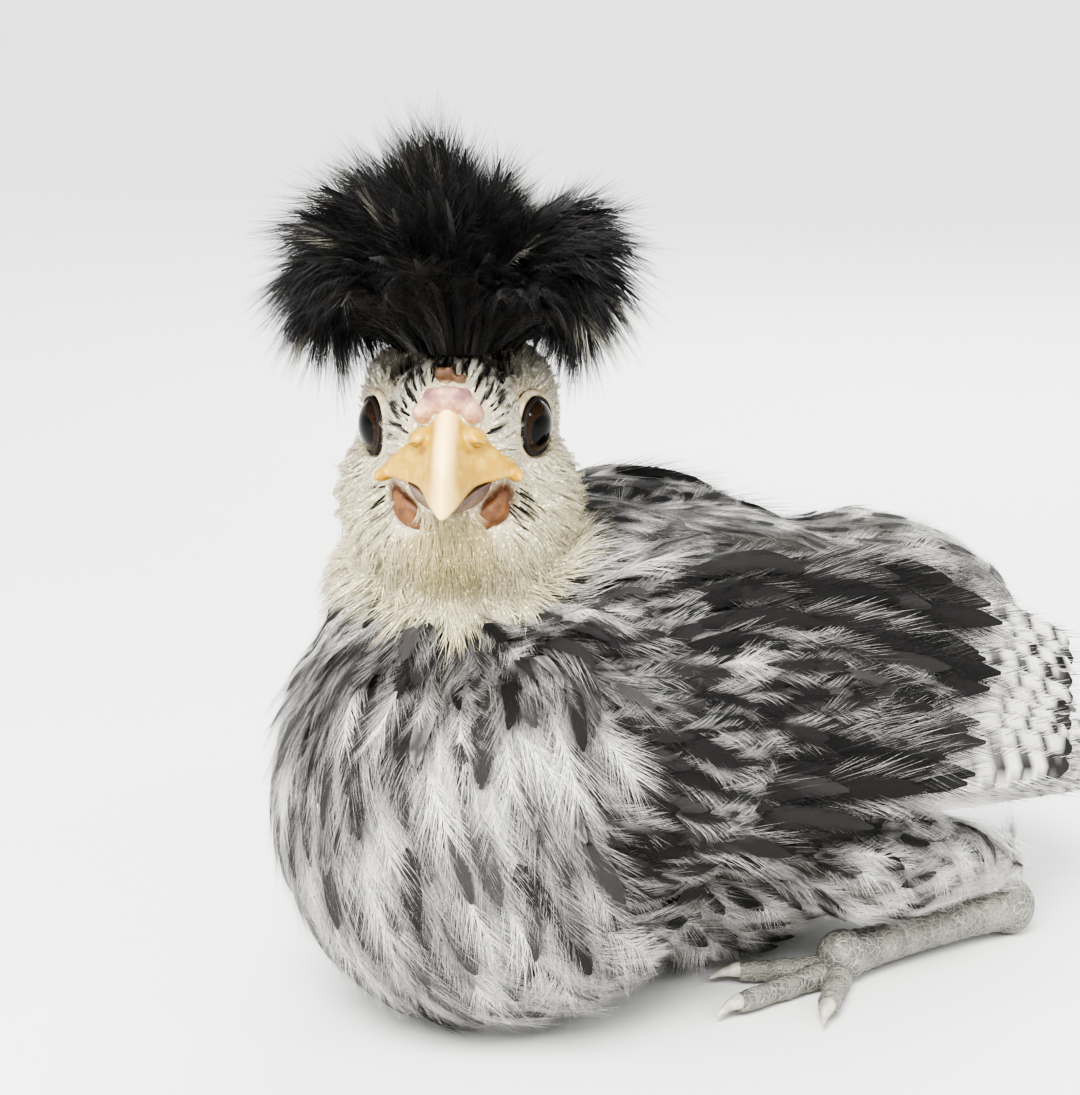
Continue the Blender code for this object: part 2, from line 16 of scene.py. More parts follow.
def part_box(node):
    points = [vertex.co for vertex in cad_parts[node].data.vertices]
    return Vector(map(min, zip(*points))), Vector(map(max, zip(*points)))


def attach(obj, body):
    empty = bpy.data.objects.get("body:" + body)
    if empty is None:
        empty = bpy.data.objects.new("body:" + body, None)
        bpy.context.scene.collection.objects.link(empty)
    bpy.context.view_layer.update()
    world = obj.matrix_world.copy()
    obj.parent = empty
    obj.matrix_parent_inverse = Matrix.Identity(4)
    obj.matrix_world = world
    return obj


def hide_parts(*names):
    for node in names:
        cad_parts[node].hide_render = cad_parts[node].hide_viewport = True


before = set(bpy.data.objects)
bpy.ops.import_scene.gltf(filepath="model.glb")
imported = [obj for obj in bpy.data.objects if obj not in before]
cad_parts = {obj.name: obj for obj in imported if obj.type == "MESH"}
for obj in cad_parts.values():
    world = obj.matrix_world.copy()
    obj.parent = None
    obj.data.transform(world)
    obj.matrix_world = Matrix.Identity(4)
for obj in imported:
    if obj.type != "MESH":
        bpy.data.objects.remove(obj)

LOG = logging.getLogger("chick")

Pair = tuple[float, float]
Point = tuple[float, float, float]
Station = tuple[float, float, float, float]
Array = np.ndarray
Chance = np.random.Generator

SIDES = ((1, "left"), (-1, "right"))

# The white of most feathers
WHITE = np.array([1.0, 0.985, 0.95])

# The head's place and turn in the chick's own frame, as in the part's source, in metres
HEAD_PLACE = Vector((0.01, -0.0425, 0.0915))
HEAD_TURN = math.radians(57)
HEAD_TIP = math.radians(12)
EYE_CENTRE = Vector((0.0089, -0.0016, 0.0))
EYE_AIM = Vector((0.91, -0.41, 0.05)).normalized()
EYE_RADIUS = 0.0054

# Camera, from the photograph's scale: distance to the middle of the body and focal length in pixels
CAMERA_AZIMUTH = math.radians(60)
CAMERA_DISTANCE = 0.31
CAMERA_ASIDE = 0.0195
CAMERA_HEIGHT = 0.112
CAMERA_DIP = math.radians(7.98)
FOCAL_PIXELS = 1904.0
FRAME_WIDTH = 1080.0


def own_frame_shift() -> Vector:
    """Place of the chick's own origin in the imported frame, read from the left eye's box.

    Returns:
        The vector to add to a point of the chick's own frame.
    """
    low, high = (Vector(corner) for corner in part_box("eye_left"))
    turned = Euler((HEAD_TIP, 0, HEAD_TURN)).to_matrix() @ EYE_CENTRE
    return (low + high) / 2 - (HEAD_PLACE + turned)


SHIFT = own_frame_shift()
HEAD = Matrix.Translation(HEAD_PLACE + SHIFT) @ Euler((HEAD_TIP, 0, HEAD_TURN)).to_matrix().to_4x4()
HEAD_BACK = HEAD.inverted()


def placed(points: Array, matrix: Matrix) -> Array:
    """Moves N by 3 points by a matrix and gives them back."""
    whole = np.array(matrix)
    return points @ whole[:3, :3].T + whole[:3, 3]


def unit(vectors: Array) -> Array:
    """Vectors scaled to length one along the last axis."""
    return vectors / np.maximum(np.linalg.norm(vectors, axis=-1, keepdims=True), 1e-12)


def smooth(values: Array, low: float, high: float) -> Array:
    """A smooth step from 0 at low to 1 at high."""
    share = np.clip((values - low) / (high - low), 0.0, 1.0)
    return share * share * (3 - 2 * share)


def apart(points: Array, place: Point = (0.0, 0.0, 0.0)) -> Array:
    """Distances of points from a place."""
    return np.linalg.norm(points - np.array(place), axis=1)


def flipped(place: Vector, side: int) -> Vector:
    """A place on the left as it is, or its mirror image for side -1."""
    return Vector((side * place.x, place.y, place.z))


def mirrored(points: Array) -> Array:
    """Points of the right side brought over to the left."""
    return points * np.where(points[:, :1] < 0, (-1, 1, 1), (1, 1, 1))


def read(items: bpy.types.bpy_prop_collection, kind: str, wide: int = 3, number: type = float) -> Array:
    """Reads a few numbers for each item of a mesh.

    Args:
        items: Its points, triangles or corners.
        kind: The property to read.
        wide: How many numbers each item has.
        number: Their type.

    Returns:
        N by wide numbers.
    """
    flat = np.empty(len(items) * wide, number)
    items.foreach_get(kind, flat)
    return flat.reshape(-1, wide)


def shade_points(mesh: Mesh, shades: Array) -> None:
    """Stores a colour for each point of a mesh, as the feather material reads it."""
    layer = mesh.attributes.new("shade", "FLOAT_COLOR", "POINT")
    layer.data.foreach_set("color", np.concatenate([shades, np.ones((len(shades), 1))], 1).ravel())


class Wire:
    """A shader value socket that takes part in Python arithmetic."""

    def __init__(self, tree: NodeTree, socket: NodeSocket) -> None:
        """Wraps a socket of a node tree."""
        self.tree = tree
        self.socket = socket

    @staticmethod
    def _operator(operation: str, flip: bool = False) -> Callable[..., "Wire"]:
        """Makes a method that joins a wire and its operands by a Math node.

        Args:
            operation: The node's operation.
            flip: Whether the operands change places.

        Returns:
            The method.
        """

        def join(self: "Wire", *others: "Wire | float") -> "Wire":
            """Adds the node.

            Args:
                self: The wire.
                others: The other operands, as wires or numbers.

            Returns:
                The node's output.
            """
            node = self.tree.nodes.new("ShaderNodeMath")
            node.operation = operation
            values = (*others, self) if flip else (self, *others)
            for entry, value in zip(node.inputs, values):
                if isinstance(value, Wire):
                    self.tree.links.new(value.socket, entry)
                else:
                    entry.default_value = value
            return Wire(self.tree, node.outputs[0])

        return join

    __add__ = __radd__ = _operator("ADD")
    __sub__ = _operator("SUBTRACT")
    __rsub__ = _operator("SUBTRACT", True)
    __mul__ = __rmul__ = _operator("MULTIPLY")
    __truediv__ = _operator("DIVIDE")
    __pow__ = _operator("POWER")
    wave = _operator("SINE")

    def square(self) -> "Wire":
        """Square."""
        return self * self

    def above(self, low: float, high: float) -> "Wire":
        """A smooth step.

        Args:
            low: Where it is still 0.
            high: Where it has reached 1.

        Returns:
            The step's value.
        """
        node = self.tree.nodes.new("ShaderNodeMapRange")
        node.interpolation_type = "SMOOTHSTEP"
        self.tree.links.new(self.socket, node.inputs["Value"])
        node.inputs["From Min"].default_value = low
        node.inputs["From Max"].default_value = high
        return Wire(self.tree, node.outputs["Result"])


class Paint:
    """One material's node tree and its Principled shader."""

    def __init__(self, name: str, roughness: float, **sockets: object) -> None:
        """Makes the material.

        Args:
            name: The material's name.
            roughness: Its roughness.
            sockets: Other constants of the Principled shader, with _ for a space.
        """
        self.material = bpy.data.materials.new(name)
        self.material.use_nodes = True
        self.tree = self.material.node_tree
        self.shader = self.tree.nodes["Principled BSDF"]
        self.shader.inputs["Roughness"].default_value = roughness
        for key, value in sockets.items():
            self.shader.inputs[key.replace("_", " ")].default_value = value

    def fill(self, entry: NodeSocket, value: object) -> None:
        """Links a node's input or sets it to a constant.

        Args:
            entry: The input.
            value: A wire, a socket, a number, or a colour of three numbers.
        """
        value = value.socket if isinstance(value, Wire) else value
        if isinstance(value, NodeSocket):
            self.tree.links.new(value, entry)
        else:
            entry.default_value = (*value, 1.0) if entry.type == "RGBA" else value

    def node(self, kind: str, settings: dict | None = None, **values: object) -> Node:
        """Adds any node.

        Args:
            kind: The node's type.
            settings: Its properties, set first.
            values: What to fill its inputs with, with _ for a space in their names.

        Returns:
            The node.
        """
        node = self.tree.nodes.new(kind)
        for key, value in (settings or {}).items():
            setattr(node, key, value)
        for key, value in values.items():
            self.fill(node.inputs[key.replace("_", " ")], value)
        return node

    def blend(self, share: object, first: object, second: object, mode: str = "MIX") -> NodeSocket:
        """Mixes two colours.

        Args:
            share: 0 for the first and 1 for the second.
            first: A colour or a colour socket.
            second: A colour or a colour socket.
            mode: The Mix node's way to mix them.

        Returns:
            The mixed colour's socket.
        """
        mix = self.node("ShaderNodeMix", {"data_type": "RGBA", "blend_type": mode})
        for index, value in ((0, share), (6, first), (7, second)):
            self.fill(mix.inputs[index], value)
        return mix.outputs[2]

    def feed(self, name: str, value: object) -> None:
        """Fills one of the shader's inputs."""
        self.fill(self.shader.inputs[name], value)

    def place(self) -> NodeSocket:
        """The object coordinates' socket."""
        return self.node("ShaderNodeTexCoord").outputs["Object"]

    def head_place(self) -> tuple[Wire, Wire, Wire]:
        """Works out the point in head coordinates.

        Returns:
            How far it lies to the left, back and up.
        """
        mapping = self.node("ShaderNodeMapping", Vector=self.place())
        mapping.inputs["Location"].default_value = HEAD_BACK.to_translation()
        mapping.inputs["Rotation"].default_value = HEAD_BACK.to_euler()
        split = self.node("ShaderNodeSeparateXYZ", Vector=mapping.outputs[0])
        return tuple(Wire(self.tree, out) for out in split.outputs)

    def noise(self, scale: float, detail: float = 3.0) -> Wire:
        """Noise of about 0 to 1, from waves per metre and octaves."""
        made = self.node("ShaderNodeTexNoise", Vector=self.place(), Scale=scale, Detail=detail)
        return Wire(self.tree, made.outputs["Fac"])

    def bump(self, height: Wire, distance: float, strength: float) -> None:
        """Feeds the normal from a height, in metres at height 1."""
        made = self.node("ShaderNodeBump", Height=height, Distance=distance, Strength=strength)
        self.feed("Normal", made.outputs["Normal"])


@dataclass(frozen=True)
class Plume:
    """Finish of all feathers: the piece's own colours, with painted shade in fine grooves between the barbs
    and a painted sheen along them.
    """

    name: str
    roughness: float = 0.62
    sheen: float = 0.0
    painted_groove_shade: Point = (0.52, 0.5, 0.48)
    painted_barb_sheen: Point = (0.01, 0.0095, 0.009)

    def material(self) -> Material:
        """Mixes the feather material.

        Returns:
            The material.
        """
        paint = Paint(self.name, self.roughness, Sheen_Weight=self.sheen, Specular_IOR_Level=0.12)
        shade = paint.node("ShaderNodeAttribute", {"attribute_name": "shade"}).outputs["Color"]
        barbs = Wire(paint.tree, paint.node("ShaderNodeAttribute", {"attribute_name": "barb"}).outputs["Fac"])
        waver = paint.noise(1500.0, 2.0) * 9.0
        grain = ((barbs * math.tau + waver).wave() * 0.5 + 0.5).above(0.1, 0.6)
        # Painted shade: the grooves between the barbs are darkened
        groove_shaded = paint.blend(1.0, shade, self.painted_groove_shade, "MULTIPLY")
        # Painted sheen: a little light is added along the barbs
        barb_sheen_painted = paint.blend(1.0, shade, self.painted_barb_sheen, "ADD")
        paint.feed("Base Color", paint.blend(grain, groove_shaded, barb_sheen_painted))
        paint.bump(grain, 0.00005, 0.6)
        return paint.material


@dataclass(frozen=True)
class Horn:
    """Finish of the beak: ivory yellow with a paler tip, a painted highlight along its ridge, painted shade
    in the nostrils, and darker at the corners of the mouth.
    """

    name: str = "ivory horn"
    deep: Point = (0.42, 0.238, 0.025)
    light: Point = (0.5, 0.335, 0.068)
    sooty: float = 0.35
    # Colour of the painted highlight along the top of the upper beak
    ridge: Point = (1.0, 0.71, 0.34)
    tip: Point = (0.88, 0.66, 0.27)
    # Colour of the painted shade in the nostrils
    nostril_shade: Point = (0.13, 0.055, 0.014)
    corner: Point = (0.07, 0.032, 0.024)
    nostril: Point = (0.0044, -0.0156, 0.0004)

    def material(self) -> Material:
        """Mixes the beak material.

        Returns:
            The material.
        """
        paint = Paint(self.name, 0.36, Subsurface_Weight=0.25, Subsurface_Scale=0.0015, Coat_Weight=0.15)
        paint.shader.inputs["Subsurface Radius"].default_value = (1.0, 0.6, 0.3)
        side, back, up = paint.head_place()
        grain = paint.noise(520.0, 4.0)
        yellow = paint.blend(grain.above(0.35, 0.68), self.deep, self.light)
        # Painted highlight: a paler band along the top of the upper beak
        ridge_highlight = (1.0 - side.square().above(0.0, 0.000004)) * up.above(-0.006, 0.001)
        highlighted = paint.blend(ridge_highlight, yellow, self.ridge)
        tipped = paint.blend(1.0 - back.above(-0.024, -0.0195), highlighted, self.tip)
        # Painted shade: the nostril openings are darkened
        wide = side.square() ** 0.5 - self.nostril[0]
        away = wide.square() * 0.5 + (back - self.nostril[1]).square() + (up - self.nostril[2]).square()
        nostril_shade = 1.0 - (away + (grain - 0.5) * 0.0000016).above(0.0000003, 0.0000016)
        nostril_shaded = paint.blend(nostril_shade * 0.9, tipped, self.nostril_shade)
        corner = side.square().above(0.000016, 0.00004) * back.above(-0.0165, -0.0135)
        corner = corner * (1.0 - up.above(-0.006, -0.0049)) * self.sooty
        paint.feed("Base Color", paint.blend(corner, nostril_shaded, self.corner))
        ripple = paint.noise(900.0, 4.0)
        paint.bump(ripple, 0.00018, 0.8)
        paint.feed("Roughness", ripple * 0.25 + 0.26)
        return paint.material


@dataclass(frozen=True)
class BareSkin:
    """Finish of wattles, ears and lids: thin skin with fine wrinkles and pores."""

    name: str
    base: Point
    deep: Point
    roughness: float = 0.52

    def material(self) -> Material:
        """Mixes the bare skin material.

        Returns:
            The material.
        """
        paint = Paint(self.name, self.roughness, Subsurface_Weight=0.2, Subsurface_Scale=0.001)
        patch = paint.noise(700.0, 4.0)
        paint.feed("Base Color", paint.blend(patch.above(0.35, 0.65), self.base, self.deep))
        paint.bump(patch, 0.0003, 0.7)
        return paint.material


@dataclass(frozen=True)
class Cere:
    """Finish of the comb: pink skin with two purple buds and a brown crust above them."""

    name: str = "comb skin"
    base: Point = (0.62, 0.41, 0.28)
    deep: Point = (0.42, 0.235, 0.165)
    purple: Point = (0.2, 0.085, 0.1)
    brown: Point = (0.115, 0.058, 0.027)
    bud: Pair = (0.0023, 0.0074)
    crust: Pair = (0.0082, 0.009)

    def material(self) -> Material:
        """Mixes the comb material.

        Returns:
            The material.
        """
        paint = Paint(self.name, 0.5, Subsurface_Weight=0.2, Subsurface_Scale=0.001)
        side, _, up = paint.head_place()
        grain = paint.noise(900.0, 4.0)
        skin = paint.blend(grain.above(0.35, 0.65), self.base, self.deep)
        away = (side.square() ** 0.5 - self.bud[0]).square() * 0.35 + (up - self.bud[1]).square()
        bud = 1.0 - (away + (grain - 0.5) * 0.000003).above(0.0, 0.0000012)
        spotted = paint.blend(bud * 0.85, skin, self.purple)
        paint.feed("Base Color", paint.blend(up.above(*self.crust), spotted, self.brown))
        paint.bump(grain, 0.0003, 0.8)
        return paint.material


@dataclass(frozen=True)
class Iris:
    """Finish of an eye: a black pupil in a dark brown iris with a nearly black rim, wet all over."""

    name: str
    side: int
    gaze: Point = (0.79, -0.61, 0.0)
    base: Point = (0.016, 0.009, 0.005)
    light: Point = (0.036, 0.019, 0.01)
    rim: Point = (0.008, 0.005, 0.004)
    pupil: Point = (0.001, 0.001, 0.001)

    def material(self) -> Material:
        """Mixes the eye material.

        Returns:
            The material.
        """
        paint = Paint(self.name, 0.03, Specular_IOR_Level=0.2)
        aim = Vector(self.gaze).normalized()
        flip = (self.side, 1, 1)
        offsets = [wire - at * sign for wire, at, sign in zip(paint.head_place(), EYE_CENTRE, flip)]
        parts = [offset * (toward * sign) for offset, toward, sign in zip(offsets, aim, flip)]
        facing = (parts[0] + parts[1] + parts[2]) / EYE_RADIUS
        iris = paint.blend(paint.noise(2400.0).above(0.3, 0.7), self.base, self.light)
        rimmed = paint.blend(facing.above(0.35, 0.62), self.rim, iris)
        paint.feed("Base Color", paint.blend(facing.above(0.895, 0.92), rimmed, self.pupil))
        return paint.material


@dataclass(frozen=True)
class Scales:
    """Finish of shanks and toes: slate scutes with pale, dusty edges."""

    name: str = "slate scutes"
    edge: Point = (0.3, 0.28, 0.24)
    deep: Point = (0.11, 0.115, 0.105)
    light: Point = (0.24, 0.235, 0.2)

    def material(self) -> Material:
        """Mixes the scale material.

        Returns:
            The material.
        """
        paint = Paint(self.name, 0.5)
        shape = {"feature": "DISTANCE_TO_EDGE"}
        cells = paint.node("ShaderNodeTexVoronoi", shape, Vector=paint.place(), Scale=900.0)
        middle = Wire(paint.tree, cells.outputs["Distance"]).above(0.02, 0.16)
        slate = paint.blend(paint.noise(260.0, 4.0).above(0.35, 0.68), self.deep, self.light)
        paint.feed("Base Color", paint.blend(middle, self.edge, slate))
        paint.bump(middle, 0.00028, 0.8)
        return paint.material


@dataclass(frozen=True)
class ClawHorn:
    """Finish of the claws: grey horn with paler clouds."""

    name: str = "grey claw horn"
    deep: Point = (0.3, 0.27, 0.23)
    light: Point = (0.55, 0.5, 0.43)

    def material(self) -> Material:
        """Mixes the claw material.

        Returns:
            The material.
        """
        paint = Paint(self.name, 0.35, Coat_Weight=0.2)
        paint.feed("Base Color", paint.blend(paint.noise(500.0).above(0.3, 0.7), self.deep, self.light))
        return paint.material


class Hand:
    """Shapes meshes with Blender's own tools, as by hand."""

    @staticmethod
    def clear() -> None:
        """Deselects everything, in object mode."""
        if bpy.context.mode != "OBJECT":
            bpy.ops.object.mode_set(mode="OBJECT")
        bpy.ops.object.select_all(action="DESELECT")

    @staticmethod
    def pick(*objects: Object) -> None:
        """Selects some objects and nothing else.

        Args:
            objects: The objects, the first of which becomes the active one.
        """
        Hand.clear()
        for obj in objects:
            obj.select_set(True)
        bpy.context.view_layer.objects.active = objects[0]

    @staticmethod
    def settle(obj: Object) -> Object:
        """Applies the object's modifiers and its place.

        Args:
            obj: The object.

        Returns:
            The same object, at the origin.
        """
        Hand.pick(obj)
        for modifier in list(obj.modifiers):
            bpy.ops.object.modifier_apply(modifier=modifier.name)
        bpy.ops.object.transform_apply(location=True, rotation=True, scale=True)
        return obj

    @staticmethod
    def ball(centre: Vector, radii: Sequence[float], turn: Euler | None = None, fine: int = 24) -> Object:
        """Adds a ball at its size and place.

        Args:
            centre: Its middle.
            radii: Its three half sizes.
            turn: Its turn, if any.
            fine: Segments round it.

        Returns:
            The ball, with its place in its mesh.
        """
        Hand.clear()
        bpy.ops.mesh.primitive_uv_sphere_add(
            segments=fine, ring_count=fine // 2 + 2, radius=1.0,
            location=centre, rotation=turn or Euler(), scale=radii,
        )
        return Hand.settle(bpy.context.object)

    @staticmethod
    def carve(obj: Object, cutter: Object) -> None:
        """Cuts one object out of another and throws the cutter away."""
        Hand.modify(obj, "BOOLEAN", operation="DIFFERENCE", object=cutter, solver="EXACT")
        bpy.data.objects.remove(cutter, do_unlink=True)

    @staticmethod
    def drawn(rings: Sequence[tuple[Vector, float, float]], heading: Matrix, sides: int = 16) -> Object:
        """Draws a body out of a disc, ring by ring.

        Args:
            rings: For each ring its centre and its half width and half height.
            heading: Turns the disc's own axes to the rings' plane.
            sides: Points round each ring.

        Returns:
            The closed body.
        """
        Hand.clear()
        first, wide, tall = rings[0]
        bpy.ops.mesh.primitive_circle_add(vertices=sides, radius=1.0, fill_type="NGON", location=(0, 0, 0))
        obj = bpy.context.object
        bpy.ops.object.mode_set(mode="EDIT")
        bpy.ops.mesh.select_all(action="SELECT")
        bpy.ops.transform.resize(value=(wide, tall, 1.0), center_override=(0, 0, 0))
        last = (Vector((0, 0, 0)), wide, tall)
        back = heading.to_3x3().inverted()
        for centre, wide, tall in rings[1:]:
            local = back @ (centre - first)
            bpy.ops.mesh.extrude_region_move(TRANSFORM_OT_translate={"value": local - last[0]})
            bpy.ops.transform.resize(value=(wide / last[1], tall / last[2], 1.0), center_override=local)
            last = (local, wide, tall)
        bpy.ops.mesh.select_all(action="SELECT")
        bpy.ops.mesh.normals_make_consistent(inside=False)
        bpy.ops.object.mode_set(mode="OBJECT")
        obj.matrix_world = Matrix.Translation(first) @ heading.to_4x4()
        return Hand.settle(obj)

    @staticmethod
    def modify(obj: Object, kind: str, **settings: object) -> Object:
        """Adds one modifier with its settings and applies it.

        Args:
            obj: The object.
            kind: The modifier's type.
            settings: Its properties.

        Returns:
            The same object.
        """
        modifier = obj.modifiers.new(kind.lower(), kind)
        for key, value in settings.items():
            setattr(modifier, key, value)
        return Hand.settle(obj)

    @staticmethod
    def joined(pieces: Sequence[Object]) -> Object:
        """Joins several objects into the first.

        Args:
            pieces: The objects.

        Returns:
            The first of them, with the meshes of all.
        """
        Hand.pick(*pieces)
        bpy.ops.object.join()
        return pieces[0]

    @staticmethod
    def soft(obj: Object) -> Object:
        """Shades the object smooth, apart from sharp edges.

        Args:
            obj: The object.

        Returns:
            The same object.
        """
        Hand.pick(obj)
        bpy.ops.object.shade_smooth_by_angle(angle=math.radians(60))
        return obj


def place_piece(
    obj: Object, name: str, material: Material, nodes: Iterable[str] = ()
) -> None:
    """Args:
        obj: The piece.
        name: Its name.
        material: Its material.
        nodes: The CAD nodes it stands for.
    """
    obj.name = name
    obj.data.name = name
    obj.data.materials.clear()
    obj.data.materials.append(material)
    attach(obj, "root")
    if nodes:
        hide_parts(*nodes)
    LOG.info("%s: %d faces", name, len(obj.data.polygons))


@dataclass(frozen=True)
class Lobe:
    """A soft ellipsoid in the chick's own frame: its centre, half sizes and weight."""

    centre: Point
    radii: Point
    weight: float = 1.25

    def nearness(self, points: Array) -> Array:
        """How near points are to the middle, 1 there and 0 far out."""
        away = (points - np.array(self.centre)) / np.array(self.radii)
        return np.exp(-(away**2).sum(-1))


# The nodes whose shapes the one skin takes up and stands for
FLESH = ("torso", "neck", "head", "thigh_left", "thigh_right")

# The left wing's lobes, as in the part's source, and how far each wing is lifted
WING_LOBES = (
    Lobe((0.0255, 0.004, 0.0585), (0.01, 0.036, 0.015)),
    Lobe((0.033, -0.003, 0.044), (0.0085, 0.039, 0.018)),
    Lobe((0.0375, -0.021, 0.04), (0.008, 0.019, 0.015)),
)
WING_LIFT = {1: -0.0005, -1: 0.007}

# Flesh behind the beak and under the comb, in head coordinates
HEAD_FILL = (
    ((0.0, -0.006, -0.0052), (0.01, 0.007, 0.008)),
    ((0.0, -0.005, 0.003), (0.009, 0.0085, 0.007)),
)

# Black patches of the plumage in the chick's own frame, on both sides unless they lie on the right
BLACK_PATCHES = (
    Lobe((0.031, -0.0065, 0.069), (0.02, 0.023, 0.0085)),
    Lobe((0.028, 0.0265, 0.0615), (0.02, 0.014, 0.009)),
    Lobe((0.036, -0.002, 0.048), (0.016, 0.025, 0.0125)),
    Lobe((0.04, -0.006, 0.03), (0.016, 0.017, 0.007)),
    Lobe((0.012, -0.048, 0.062), (0.016, 0.012, 0.005), 0.62),
    Lobe((0.037, -0.03, 0.043), (0.014, 0.013, 0.02), 0.85),
    Lobe((0.025, -0.029, 0.057), (0.011, 0.013, 0.0095), 0.62),
    Lobe((-0.0275, -0.046, 0.034), (0.014, 0.018, 0.021), 1.0),
    Lobe((0.0, -0.056, 0.01), (0.03, 0.02, 0.0085), 0.62),
    Lobe((0.0, -0.065, 0.012), (0.04, 0.03, 0.009), 0.7),
    Lobe((0.02, 0.07, 0.042), (0.016, 0.01, 0.009)),
)


class Region(Enum):
    """The feather tracts that differ in length, lie and markings."""

    FACE = "face"
    NECK = "neck"
    BREAST = "breast"
    BACK = "back"
    BELLY = "belly"
    RUMP = "rump"
    THIGH = "thigh"
    WING = "wing"


TRACTS = list(Region)


def wing_nearness(points: Array) -> Array:
    """Tells how near points lie to either wing's lobes.

    Args:
        points: N by 3 points of the chick's own frame.

    Returns:
        N numbers: 1 on a lobe's surface and less inside it.
    """
    best = np.full(len(points), np.inf)
    for side in (1, -1):
        for lobe in WING_LOBES:
            centre = np.array(lobe.centre) * (side, 1, 1) + (0, 0, WING_LIFT[side])
            away = (points - centre) / np.array(lobe.radii)
            best = np.minimum(best, np.sqrt((away**2).sum(-1)))
    return best


def tract_of(points: Array, normals: Array) -> Array:
    """The tract that each point belongs to.

    Args:
        points: N by 3 points on the skin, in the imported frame.
        normals: Their outward directions.

    Returns:
        N indices into TRACTS.
    """
    own = points - np.array(SHIFT)
    head = placed(points, HEAD_BACK)
    aside, back, up = np.abs(own[:, 0]), own[:, 1], own[:, 2]
    wing = (wing_nearness(own) < 1.12) & (aside > 0.019) & (up > 0.022)
    jag = 0.001 * np.sin(own[:, 0] * 1300 + up * 500) + 0.0007 * np.sin(back * 2100 - own[:, 0] * 800)
    behind = head[:, 1]
    collar = head[:, 2] > -0.0262 - 0.15 * behind + 2.2 * np.clip(behind - 0.004, 0, 0.016) + jag
    near = apart(head * (1.5, 1, 1)) < 0.034 - 0.6 * np.clip(behind, 0, 0.016) + jag
    tract = np.full(len(points), TRACTS.index(Region.BREAST))
    for region, inside in (
        (Region.BACK, (back > -0.012) & (normals[:, 2] > 0.25)),
        (Region.BELLY, (normals[:, 2] < -0.7) & (up < 0.02)),
        (Region.RUMP, back > 0.058),
        (Region.THIGH, (aside > 0.0235) & (up < 0.034) & (back > -0.004)),
        (Region.WING, wing),
        (Region.NECK, (up > 0.056) & (back < -0.014) & ~wing),
        (Region.FACE, collar & near),
    ):
        tract[inside] = TRACTS.index(region)
    return tract


def nape(points: Array) -> Array:
    """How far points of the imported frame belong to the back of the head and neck, from 0 to 1."""
    head = placed(points, HEAD_BACK)
    return smooth(head[:, 2], -0.036, -0.024) * smooth(head[:, 1], 0.0, 0.006)


def darkness(points: Array) -> Array:
    """Tells how black the plumage is.

    Args:
        points: N by 3 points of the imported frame.

    Returns:
        N numbers from 0 for white to 1 for black.
    """
    own = points - np.array(SHIFT)
    near_side = mirrored(own)
    near_side[own[:, 0] < 0, 2] -= WING_LIFT[-1]
    dark = np.zeros(len(points))
    for patch in BLACK_PATCHES:
        one_sided = patch.centre[0] < 0
        dark = np.maximum(dark, patch.weight * patch.nearness(own if one_sided else near_side))
    return np.clip(dark, 0.0, 1.0)


